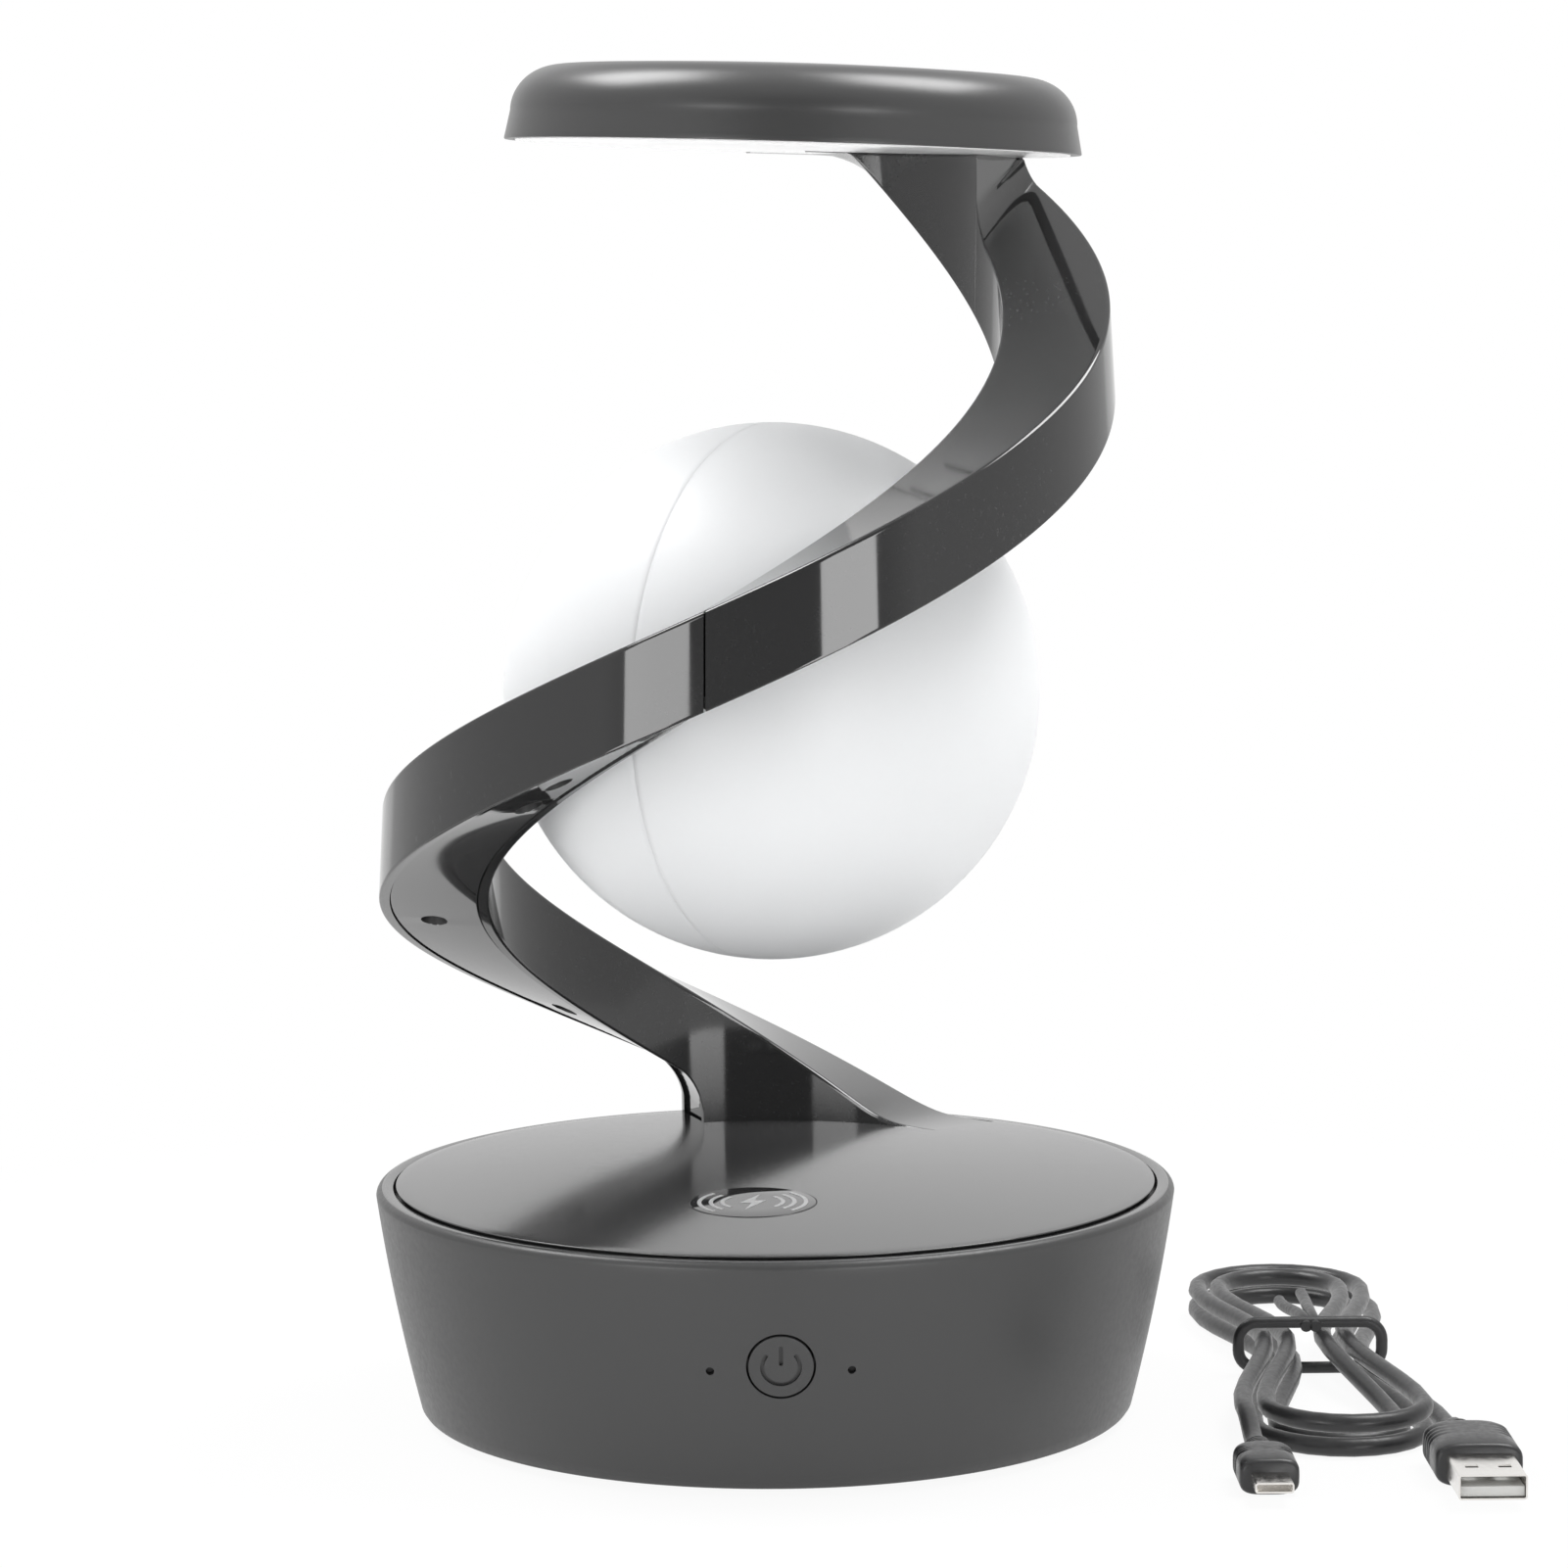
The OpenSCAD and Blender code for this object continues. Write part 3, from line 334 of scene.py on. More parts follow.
class Ribbon:
    """Formulas of the spiral arm, in millimetres and degrees along its turn."""

    def __init__(self):
        size = sizes()
        self.base = size.base_height
        self.height = size.ribbon_height
        self.pitch = size.ribbon_pitch
        self.inner = size.globe_radius + GLOBE_GAP
        self.outer = self.inner + size.ribbon_width
        self.out_draw = self.outer - size.head_radius - OUT_END
        self.in_draw = self.inner - size.head_radius + IN_END

    def out_r(self, a):
        return self.outer - self.out_draw * max((a - ARM_FROM) / 360.0, 0.0) ** OUT_POWER

    def in_r(self, a):
        return self.inner - self.in_draw * max((a - ARM_FROM) / 360.0, 0.0) ** IN_POWER

    def plan(self, r, a):
        t = math.radians(a)
        return Vector((ARM_AT[0] + r * math.cos(t), ARM_AT[1] + r * math.sin(t)))

    def skew(self, s):
        return ease((s - SKEW_FROM) / SKEW_RUN)

    def a_in(self, s):
        return s - SKEW_IN * self.skew(s)

    def a_out(self, s):
        return s + SKEW_OUT * self.skew(s)

    def draft(self, s):
        return min(max((s - FOOT_END) / DRAFT_RUN, 0.0), 1.0)

    def edges(self, s):
        """Plan points of the section: outer bottom, outer top, inner top, inner bottom."""
        ao, ai, d = self.a_out(s), self.a_in(s), self.draft(s)
        ob = self.plan(self.out_r(ao) + DRAFT_OUT * d, ao)
        ot = self.plan(self.out_r(ao), ao)
        it = self.plan(self.in_r(ai), ai)
        ib = self.plan(self.in_r(ai) - DRAFT_IN * d, ai)
        return ob, ot, it, ib

    def helix(self, a, p):
        climb = self.pitch * (a - MID_TURN) / 360.0
        return self.base + MID_RISE + climb + LEAN[0] * p.x + LEAN[1] * p.y

    def band_top(self, a, p):
        return self.helix(a, p) + self.height / 2.0 - DIP * max(DIP_TO - a, 0.0) ** 2

    def band_bot(self, a, p):
        return self.helix(a, p) - self.height / 2.0 + LIFT * max(a - LIFT_FROM, 0.0) ** 2

    def under(self, p):
        return self.base + HEAD_RISE + HEAD_BITE - (p.x - HEAD_AT[0]) * math.tan(HEAD_TILT)

    def soft(self, h, k):
        return 0.5 * (h + math.sqrt(h * h + 4.0 * k * k))

    def quarter(self, x):
        return 0.0 if x >= 1.0 else 1.0 - math.sqrt(max(1.0 - (1.0 - max(x, 0.0)) ** 2, 0.0))

    def roof(self, s, a, p):
        deck = deck_z(p.length)
        rise = max(self.soft(self.band_top(a, p) - deck, FOOT_BLEND), FOOT_LEAST)
        sink = FOOT_SINK * ease((FOOT_SOLID - a) / FOOT_THIN)
        body = deck + rise * ease((a - FOOT_FROM) / FOOT_THIN) - sink
        return min(body + END_FILLET * self.quarter((HEAD_END - s) / FILLET_DEG), self.under(p))

    def top(self, s, a, p):
        return self.under(p) if s > HEAD_END else self.roof(s, a, p)

    def cave(self, s, a, p):
        inside = self.under(p) if s > HEAD_END + CAVE_PAST else self.roof(min(s, HEAD_END), a, p)
        return inside - ARM_TOP

    def toe(self, z, p):
        return self.under(p) - max(self.soft(self.under(p) - z, TOE_BLEND), TOE_LEAST)

    def bottom(self, s, a, p):
        if s <= FOOT_END:
            return FOOT_SEAT
        return self.toe(self.band_bot(a, p) - END_FILLET * self.quarter((s - FOOT_END) / FILLET_DEG), p)

    def on_line(self, p, q, d):
        return p + (q - p).normalized() * d

    def channel(self, s):
        """Corners of the hollow section: four outside, then four inside."""
        ob, ot, it, ib = self.edges(s)
        ao, ai = self.a_out(s), self.a_in(s)
        zi, zo = self.bottom(s, ai, ib), self.bottom(s, ao, ob)
        ti, to = self.top(s, ai, it), self.top(s, ao, ot)
        ci, co = self.cave(s, ai, it), self.cave(s, ao, ot)
        cib, cob = self.on_line(ib, ob, ARM_WALL), self.on_line(ob, ib, ARM_WALL)
        cit, cot = self.on_line(it, ot, ARM_WALL), self.on_line(ot, it, ARM_WALL)
        f = ARM_WALL / (ob - ib).length
        zib, zob = mix(zi, zo, f), mix(zi, zo, 1.0 - f)
        zit, zot = mix(ci, co, f), mix(ci, co, 1.0 - f)
        if not FOOT_SOLID < s < TOE_SOLID:
            zit = zib + min(FILLED_GAP, FILLED_SHARE * (ti - zi))
            zot = zob + min(FILLED_GAP, FILLED_SHARE * (to - zo))
        outside = ((ob, zo), (ot, to), (it, ti), (ib, zi))
        return lifted(outside + ((cib, zib), (cit, zit), (cot, zot), (cob, zob)))

    def low(self, s, a, p):
        if s <= FOOT_END - STRIP_LEAD:
            return FOOT_SEAT + STRIP_SEAT
        return self.bottom(s + STRIP_LEAD, a, p) + STRIP_INSET

    def strip(self, s, lift):
        """Corners of the cover strip in the section's mouth, with a given thickness."""
        ob, ot, it, ib = self.edges(s)
        ao, ai = self.a_out(s), self.a_in(s)
        wide = ARM_WALL + STRIP_GAP
        q, p = self.on_line(ob, ib, wide), self.on_line(ib, ob, wide)
        f = wide / (ob - ib).length
        li, lo = self.low(s, ai, ib), self.low(s, ao, ob)
        hi = max(self.toe(self.band_bot(ai, ib), ib), li - STRIP_INSET)
        ho = max(self.toe(self.band_bot(ao, ob), ob), lo - STRIP_INSET)
        ci, co = self.cave(s, ai, it) - 2.0 * STRIP_GAP, self.cave(s, ao, ot) - 2.0 * STRIP_GAP
        zq, zp = mix(li, lo, 1.0 - f), mix(li, lo, f)
        tq = min(mix(hi, ho, 1.0 - f) + STRIP_INSET + lift, mix(ci, co, 1.0 - f))
        tp = min(mix(hi, ho, f) + STRIP_INSET + lift, mix(ci, co, f))
        return lifted(((q, zq), (q, tq), (p, tp), (p, zp)))

    def screw_seat(self, s, share):
        """Point of the arm's underside at a screw."""
        ob, *tops, ib = self.edges(s)
        low = mix(self.bottom(s, self.a_in(s), ib), self.bottom(s, self.a_out(s), ob), share)
        p = ib.lerp(ob, share)
        return Vector((p.x, p.y, low))


CORNER_SHARE = 0.3
CORNER_HOLD = 1.25


def eased_corners(corners, rounds, n=4):
    """A ring of points with each corner rounded and held by a point on both sides; 0 keeps it sharp."""
    ring = []
    count = len(corners)
    for i, (c, r) in enumerate(zip(corners, rounds)):
        before, after = corners[i - 1] - c, corners[(i + 1) % count] - c
        if r == 0.0:
            ring.append(c)
            continue
        p = c + before.normalized() * min(r, CORNER_SHARE * before.length)
        q = c + after.normalized() * min(r, CORNER_SHARE * after.length)
        ring.append(c + (p - c) * CORNER_HOLD)
        for k in range(n):
            t = k / (n - 1)
            ring.append(p * (1.0 - t) ** 2 + c * 2.0 * t * (1.0 - t) + q * t ** 2)
        ring.append(c + (q - c) * CORNER_HOLD)
    return ring


# Making meshes


def fresh(geom):
    """The vertices among what an operator made."""
    return [v for v in geom if isinstance(v, bmesh.types.BMVert)]


def spun(profile, steps=192, closed=True):
    """Spins a profile of radius and height about Z into one skin."""
    bm = bmesh.new()
    verts = [bm.verts.new((r, 0.0, z)) for r, z in profile]
    pairs = list(zip(verts, verts[1:]))
    if closed:
        pairs.append((verts[-1], verts[0]))
    edges = [bm.edges.new(pair) for pair in pairs]
    bmesh.ops.spin(
        bm, geom=verts + edges, cent=(0.0, 0.0, 0.0), axis=(0.0, 0.0, 1.0), angle=math.tau, steps=steps,
        use_merge=True)
    bmesh.ops.remove_doubles(bm, verts=bm.verts, dist=MERGE)
    return bm


def lofted(rings):
    """Sweeps the first ring of points through the others, and caps both ends."""
    bm = bmesh.new()
    ring = [bm.verts.new(p) for p in rings[0]]
    count = len(ring)
    edges = [bm.edges.new((ring[i], ring[(i + 1) % count])) for i in range(count)]
    bmesh.ops.contextual_create(bm, geom=edges)
    for points in rings[1:]:
        grown = set(fresh(bmesh.ops.extrude_edge_only(bm, edges=edges)["geom"]))
        ring = [next(e.other_vert(v) for e in v.link_edges if e.other_vert(v) in grown) for v in ring]
        for v, p in zip(ring, points):
            v.co = p
        edges = [bm.edges.get((ring[i], ring[(i + 1) % count])) for i in range(count)]
    bmesh.ops.contextual_create(bm, geom=edges)
    return bm


def pressed(outline, low, high):
    """A flat outline of points, raised from one height to another."""
    bm = bmesh.new()
    verts = [bm.verts.new((x, y, low)) for x, y in outline]
    edges = [bm.edges.new((verts[i - 1], verts[i])) for i in range(len(verts))]
    face = bmesh.ops.contextual_create(bm, geom=edges)["faces"]
    grown = bmesh.ops.extrude_face_region(bm, geom=face)["geom"]
    bmesh.ops.translate(bm, verts=fresh(grown), vec=(0.0, 0.0, high - low))
    return bm


def tube(path, radius, n=16):
    """A round bar along a line of points, capped at both ends and without twist."""
    rings = []
    circle = [Vector((x, y, 0.0)) for x, y in arc(0.0, 0.0, radius, 0.0, 360.0, n)[:-1]]
    last = path[1] - path[0]
    turn = last.to_track_quat("Z", "Y")
    for i, p in enumerate(path):
        ahead = path[min(i + 1, len(path) - 1)] - path[max(i - 1, 0)]
        turn = last.rotation_difference(ahead) @ turn
        last = ahead
        rings.append([p + turn @ c for c in circle])
    return lofted(rings)


def rod(radius, low, high, segments=64):
    """A capped round bar along Z."""
    bm = bmesh.new()
    bmesh.ops.create_cone(
        bm, cap_ends=True, segments=segments, radius1=radius, radius2=radius, depth=high - low,
        matrix=Matrix.Translation((0.0, 0.0, (low + high) / 2.0)))
    return bm


def block(middle, size):
    """A box of given sizes about a point."""
    bm = bmesh.new()
    bmesh.ops.create_cube(bm, size=1.0, matrix=Matrix.Translation(middle) @ Matrix.Diagonal((*size, 1.0)))
    return bm


def bevelled(bm, edges, offset, segments):
    """Rounds some edges of a bmesh."""
    bmesh.ops.bevel(
        bm, geom=edges, offset=offset, segments=segments, profile=0.5, affect="EDGES", material=-1)


def placed(bm, place):
    """A bmesh moved to its place."""
    bmesh.ops.transform(bm, matrix=place, verts=bm.verts)
    return bm


def gathered(parts):
    """One bmesh out of several."""
    whole = bmesh.new()
    for bm in parts:
        mesh = bpy.data.meshes.new("part")
        bm.to_mesh(mesh)
        bm.free()
        whole.from_mesh(mesh)
        bpy.data.meshes.remove(mesh)
    return whole


def solid(name, bm, place=None):
    """An object in metres from a bmesh in millimetres, merged and with its faces outwards."""
    bmesh.ops.remove_doubles(bm, verts=bm.verts, dist=MERGE)
    if place is not None:
        placed(bm, place)
    bmesh.ops.recalc_face_normals(bm, faces=bm.faces)
    bmesh.ops.scale(bm, vec=(MM, MM, MM), verts=bm.verts)
    mesh = bpy.data.meshes.new(name)
    bm.to_mesh(mesh)
    bm.free()
    obj = bpy.data.objects.new(name, mesh)
    bpy.context.scene.collection.objects.link(obj)
    return obj


def carve(obj, tool):
    """Cuts a tool out of a piece; the tool is then gone."""
    change = obj.modifiers.new("carve", "BOOLEAN")
    change.operation = "DIFFERENCE"
    change.solver = "EXACT"
    change.object = tool
    bpy.context.view_layer.update()
    graph = bpy.context.evaluated_depsgraph_get()
    mesh = bpy.data.meshes.new_from_object(obj.evaluated_get(graph))
    obj.modifiers.clear()
    old = obj.data
    obj.data = mesh
    bpy.data.meshes.remove(old)
    spare = tool.data
    bpy.data.objects.remove(tool)
    bpy.data.meshes.remove(spare)
    if not mesh.polygons:
        raise RuntimeError(obj.name + " has no faces left after a cut")


def finished(obj, finish, nodes=(), body="lamp", sharp=32.0):
    """Gives a piece its shading, finish, body and the solids it stands for."""
    mesh = obj.data
    mesh.materials.clear()
    mesh.materials.append(finish)
    mesh.polygons.foreach_set("use_smooth", [True] * len(mesh.polygons))
    mesh.set_sharp_from_angle(angle=math.radians(sharp))
    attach(obj, body)
    if nodes:
        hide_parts(*nodes)
    return obj


# Finishes

SKIN = (("Colour", "NodeSocketColor"), ("Roughness", "NodeSocketFloat"), ("Height", "NodeSocketFloat"))
PAINT_GRAIN = 3200.0
TONE_SCALE = 28.0
SPECK_SCALE = 900.0
PATCH_SCALE = 24.0
DOT_SCALE = 1400.0
RIPPLE_SCALE = 75.0
WHITE = (1.0, 1.0, 1.0, 1.0)


def cleared(owner):
    """The emptied node tree of a material or world."""
    owner.use_nodes = True
    owner.node_tree.nodes.clear()
    return owner.node_tree


def feed(tree, socket, value):
    """Links an input to another node's output, or sets it to a plain value."""
    if isinstance(value, bpy.types.NodeSocket):
        tree.links.new(value, socket)
    else:
        socket.default_value = value


def add(tree, kind, *terms, **values):
    """Adds a node, sets its options and feeds its inputs, in their order or by name."""
    node = tree.nodes.new(kind)
    for key, value in values.items():
        if hasattr(node, key) and key not in node.inputs:
            setattr(node, key, value)
        else:
            feed(tree, node.inputs[key.replace("_", " ")], value)
    for socket, term in zip(node.inputs, terms):
        feed(tree, socket, term)
    return node


def calc(tree, operation, *terms):
    """The result of a math node."""
    return add(tree, "ShaderNodeMath", *terms, operation=operation).outputs[0]


def noise(tree, coords, scale, detail=2.0, roughness=0.5):
    """A noise over the piece's own coordinates."""
    node = add(tree, "ShaderNodeTexNoise", Vector=coords, Scale=scale, Detail=detail, Roughness=roughness)
    return node.outputs["Fac"]


def remap(tree, value, low, high, to_low, to_high):
    """Maps a value from one range to another."""
    return add(tree, "ShaderNodeMapRange", value, low, high, to_low, to_high).outputs[0]


def shared(name, numbers):
    """A new shader node group, from a colour and some numbers to a skin's colour, roughness and height."""
    group = bpy.data.node_groups.new(name, "ShaderNodeTree")
    group.interface.new_socket(name="Colour", in_out="INPUT", socket_type="NodeSocketColor")
    for label, value in numbers.items():
        socket = group.interface.new_socket(name=label, in_out="INPUT", socket_type="NodeSocketFloat")
        socket.default_value = value
    for label, kind in SKIN:
        group.interface.new_socket(name=label, in_out="OUTPUT", socket_type=kind)
    coords = add(group, "ShaderNodeTexCoord").outputs["Object"]
    return group, group.nodes.new("NodeGroupInput").outputs, coords


def moulded_group():
    """Fine spark grain, slow tone change and roughness of moulded plastic."""
    if "moulded_grain" in bpy.data.node_groups:
        return bpy.data.node_groups["moulded_grain"]
    numbers = {"Grain": 2600.0, "Tone": 0.06, "Rough": 0.5, "Rough Change": 0.05}
    group, given, coords = shared("moulded_grain", numbers)
    fine = noise(group, coords, given["Grain"], 3.0, 0.6)
    slow = noise(group, coords, TONE_SCALE, 3.0)
    speck = noise(group, coords, SPECK_SCALE, 2.0)
    swing = calc(group, "MULTIPLY_ADD", slow, given["Tone"], 1.0)
    shade = calc(group, "MULTIPLY_ADD", speck, given["Tone"], swing)
    lift = calc(group, "SUBTRACT", shade, given["Tone"])
    tinted = add(group, "ShaderNodeVectorMath", given["Colour"], operation="SCALE", Scale=lift)
    centred = remap(group, speck, 0.3, 0.7, -1.0, 1.0)
    rough = calc(group, "MULTIPLY_ADD", centred, given["Rough Change"], given["Rough"])
    add(group, "NodeGroupOutput", tinted.outputs[0], rough, fine)
    return group


def dust_group():
    """Handling haze and fine dust on gloss plastic: a paler colour and a rougher skin in patches."""
    if "handling_dust" in bpy.data.node_groups:
        return bpy.data.node_groups["handling_dust"]
    group, given, coords = shared("handling_dust", {"Dust": 0.02, "Gloss": 0.07, "Haze": 0.05})
    patch = remap(group, noise(group, coords, PATCH_SCALE, 4.0, 0.55), 0.42, 0.68, 0.0, 1.0)
    dots = remap(group, noise(group, coords, DOT_SCALE, 2.0, 0.6), 0.62, 0.74, 0.0, 1.0)
    dusty = calc(group, "MULTIPLY", dots, patch)
    amount = calc(group, "MULTIPLY", dusty, given["Dust"])
    paler = add(group, "ShaderNodeVectorMath", given["Colour"], amount, operation="ADD")
    rough = calc(group, "MULTIPLY_ADD", patch, given["Haze"], given["Gloss"])
    ripple = noise(group, coords, RIPPLE_SCALE, 1.0)
    add(group, "NodeGroupOutput", paler.outputs[0], rough, ripple)
    return group


def shaded(name, group, values, bump, **surface):
    """A finish whose colour, roughness and bump come from a shared group."""
    label = "finish_" + name
    if label in bpy.data.materials:
        return bpy.data.materials[label]
    finish = bpy.data.materials.new(label)
    tree = cleared(finish)
    detail = add(tree, "ShaderNodeGroup", node_tree=group)
    for key, value in values.items():
        detail.inputs[key].default_value = value
    tint, rough, height = detail.outputs[:]
    relief = add(tree, "ShaderNodeBump", Strength=bump[0], Distance=bump[1], Height=height)
    skin = add(
        tree, "ShaderNodeBsdfPrincipled", Base_Color=tint, Roughness=rough, Normal=relief.outputs["Normal"],
        **surface)
    add(tree, "ShaderNodeOutputMaterial", Surface=skin.outputs[0])
    finish.diffuse_color = tuple(values["Colour"])
    return finish


def moulded(name, tint, rough, grain=2600.0, tone=0.06, change=0.05, bump=(0.25, 0.00003), **surface):
    """A moulded finish in a colour."""
    values = {"Colour": (*tint[:3], 1.0), "Grain": grain, "Tone": tone, "Rough": rough}
    values["Rough Change"] = change
    return shaded(name, moulded_group(), values, bump, **surface)


def metal(name, tint, rough, grain, tone, change, bump):
    """A metal finish in a colour."""
    return moulded(name, tint, rough, grain, tone, change, bump, Metallic=1.0)


def glossy(name, tint, gloss, haze, dust=0.02, bump=(0.05, 0.0001), **surface):
    """A gloss finish in a colour, with handling dust."""
    values = {"Colour": (*tint[:3], 1.0), "Gloss": gloss, "Haze": haze, "Dust": dust}
    return shaded(name, dust_group(), values, bump, **surface)


def base_finish():
    """Matte grey of the base and button."""
    tint = colours().base_grey
    return moulded("base_grey", tint, 0.4, PAINT_GRAIN, change=0.04, bump=(0.12, 0.00002), IOR=1.58)


def head_finish():
    """Matte grey of the lamp head, a little smoother than the base."""
    tint = colours().base_grey
    return moulded("head_grey", tint, 0.33, PAINT_GRAIN, change=0.01, bump=(0.06, 0.00002), IOR=1.65)


def plate_finish():
    """Satin grey of the top plate and of the rim's flat top, much smoother than the base."""
    tint = colours().base_grey
    return moulded("plate_grey", tint, 0.16, PAINT_GRAIN, change=0.02, bump=(0.08, 0.00002), IOR=1.8)


def arm_finish():
    """Gloss grey of the spiral arm."""
    tint = colours().arm_grey
    return glossy("arm_gloss", tint, gloss=0.05, haze=0.05, dust=0.05, bump=(0.03, 0.0001), IOR=1.65)


def cord_finish():
    """Satin black rubber of the cord and plugs."""
    tint = colours().cord_black
    return moulded("cord_rubber", tint, 0.36, grain=1500.0, tone=0.2, change=0.06, bump=(0.2, 0.00004))


def nickel_finish():
    """Bright plating of the plug shells."""
    tint = colours().nickel
    return metal("nickel_plate", tint, 0.2, grain=700.0, tone=0.08, change=0.06, bump=(0.06, 0.00002))


# Camera and cable

SENSOR = 36.0
LENS = 108.43
NEAREST = 0.01
YAW = math.radians(-0.75)
PITCH = -0.11375
ROLL = -0.00678
CAMERA_AT = (-0.00935, -0.87872, 0.218995)
HANK_AT = (104.0, 20.0)
HANK_RUN = 96.0
HANK_FOLD = 10.8
HANK_TURNS = 3.75
TURN_STEPS = 48
RUN_GAP = 0.75
WAIST_GAP = 0.9
WAIST_HALF = 0.2
LAYER_TURNS = 2.0
LAYER_GAP = 0.6
LAYER_CLIMB = 8.0
EXIT_STRAIGHT = 3.0
PLUG_A = (15.6, 24.0, 8.0)
PLUG_A_GAP = 14.0
PLUG_A_SHELL = (12.0, 14.5, 4.5)
PLUG_M = (10.6, 20.0, 6.6)
PLUG_M_GAP = 22.0
PLUG_M_SHELL = (6.85, 7.0, 1.9)
WINDOW = (2.3, 2.1, 1.0)
WINDOW_AT = (2.9, 8.6, 2.2)
TONGUE = (11.2, 12.2, 1.85)
TONGUE_AT = (7.9, 0.85)
TONGUE_EDGE = 0.15
SHELL_GAP = 0.1
SHELL_EDGE = 0.55
SHELL_T = 0.32
SHELL_BACK = 1.5
TIE_T = 0.8
TIE_ROOM = 0.4
TIE_WIRE = 2.3
TIE_BEND = 3.6
TIE_SIDE = 0.3
TIE_ABOVE = 0.25
TIE_BELOW = 0.05
TAILS = ((-1.0, 29.0), (1.0, 36.0))
TAIL_ROOT = (-1.4, -0.6)
TAIL_FROM = (1.2, 0.1)
TAIL_APART = (0.9, 2.6)
TAIL_DROP = 2.4

# Stations along a plug's grip: the place, then a radius, depth or share of its size, and how square it is
RELIEF_NECK = (0.15, 2.2, 2.2, 2.0)
RELIEF_RIB = ((0.35, 2.6), (0.85, 2.6), (1.0, 2.15), (1.2, 2.15))
RELIEF_END = (4.6, 2.7, 2.7, 2.0)
ROUND = 2.0
SQUARE = 3.6
SHOULDER = ((5.5, 0.62, 0.8, 2.4), (6.0, 0.82, 0.93, 2.8), (7.0, 0.96, 0.99, 3.2), (8.2, 1.0, 1.0, SQUARE))
GROOVES_FROM = 9.4
GROOVES_TO = 7.0
GROOVE = ((0.0, 0.0), (0.35, 0.4), (0.95, 0.4), (1.3, 0.0))
NOSE = ((1.0, 0.0, SQUARE), (0.25, 0.25, SQUARE), (0.0, 0.7, 3.4))


class Hank:
    """Route of the cord through its hank, in millimetres from the hank's middle."""

    def __init__(self):
        self.d = sizes().cord_diameter
        self.step = self.d + RUN_GAP
        self.waist_step = self.d + WAIST_GAP
        self.out = HANK_FOLD + 2.0 * self.step
        self.waist_out = 2.0 * self.waist_step + self.d / 2.0 + WAIST_HALF
        self.layer = self.d + LAYER_GAP
        self.lift = TIE_T + TIE_ROOM

    def spool(self, u):
        return u if u < LAYER_TURNS else 2.0 * LAYER_TURNS - u

    def end_r(self, u):
        return self.out - self.step * self.spool(u)

    def draw_in(self, y, u):
        waist = self.waist_out - self.waist_step * self.spool(u)
        return mix(waist, self.end_r(u), ease(abs(y) / (HANK_RUN / 2.0)))

    def point(self, u):
        """Point of the cord after u turns."""
        q = (u - math.floor(u)) * 4.0
        k = math.floor(q)
        t = q - k
        half = HANK_RUN / 2.0
        bend = math.pi * t
        if k == 0:
            y = mix(-half, half, t)
            x = self.draw_in(y, u)
        elif k == 1:
            x, y = self.end_r(u) * math.cos(bend), half + self.end_r(u) * math.sin(bend)
        elif k == 2:
            y = mix(half, -half, t)
            x = -self.draw_in(y, u)
        else:
            x, y = -self.end_r(u) * math.cos(bend), -half - self.end_r(u) * math.sin(bend)
        rise = math.cos(min(abs(y) / half, 1.0) * math.pi / 2.0) ** 2
        z = self.d / 2.0 + self.layer * ease((u - LAYER_TURNS) * LAYER_CLIMB) + self.lift * rise
        return Vector((x, y, z))

    def tail(self, end, z, gap, t):
        """Point of the straight stretch from the hank to a plug."""
        share = (gap * t - EXIT_STRAIGHT) / (gap - EXIT_STRAIGHT - self.d)
        return Vector((end.x, end.y - gap * t, mix(end.z, z, ease(share))))

    def ends(self):
        return self.point(0.0), self.point(HANK_TURNS - 0.0001)

    def route(self):
        """Points of the whole cord from the large plug to the small one."""
        start, stop = self.ends()
        out = [self.tail(start, PLUG_A[2] / 2.0, PLUG_A_GAP, i / 8) for i in range(8, 0, -1)]
        out += [self.point(i / TURN_STEPS) for i in range(int(HANK_TURNS * TURN_STEPS))]
        out.append(stop)
        return out + [self.tail(stop, PLUG_M[2] / 2.0, PLUG_M_GAP, i / 10) for i in range(1, 11)]


def at_hank(p):
    """A hank point in the room."""
    return Vector((p[0] + HANK_AT[0], p[1] + HANK_AT[1], p[2]))


class LAMP_OT_camera(bpy.types.Operator):
    """Sets up the camera at the photograph's viewpoint"""

    bl_idname = "lamp.camera"
    bl_label = "Photograph camera"

    def execute(self, context):
        data = bpy.data.cameras.new("photograph_camera")
        data.sensor_width = SENSOR
        data.lens = LENS
        data.clip_start = NEAREST
        camera = bpy.data.objects.new("photograph_camera", data)
        context.scene.collection.objects.link(camera)
        right = Vector((math.cos(YAW), math.sin(YAW), 0.0))
        ahead = Vector((-math.sin(YAW), math.cos(YAW), 0.0))
        up = Vector((0.0, 0.0, 1.0))
        view = ahead * math.cos(PITCH) + up * math.sin(PITCH)
        top = up * math.cos(PITCH) - ahead * math.sin(PITCH)
        side = right * math.cos(ROLL) + top * math.sin(ROLL)
        head = top * math.cos(ROLL) - right * math.sin(ROLL)
        turn = Matrix((side, head, -view)).transposed().to_4x4()
        camera.matrix_world = Matrix.Translation(CAMERA_AT) @ turn
        context.scene.camera = camera
        return {"FINISHED"}


def oval(wide, high, n, power):
    """A rounded ring of half sizes in the plug's section."""
    ring = []
    for i in range(n):
        t = math.tau * i / n
        c, s = math.cos(t), math.sin(t)
        x = wide * math.copysign(abs(c) ** (2.0 / power), c)
        z = high * math.copysign(abs(s) ** (2.0 / power), s)
        ring.append((x, z))
    return ring


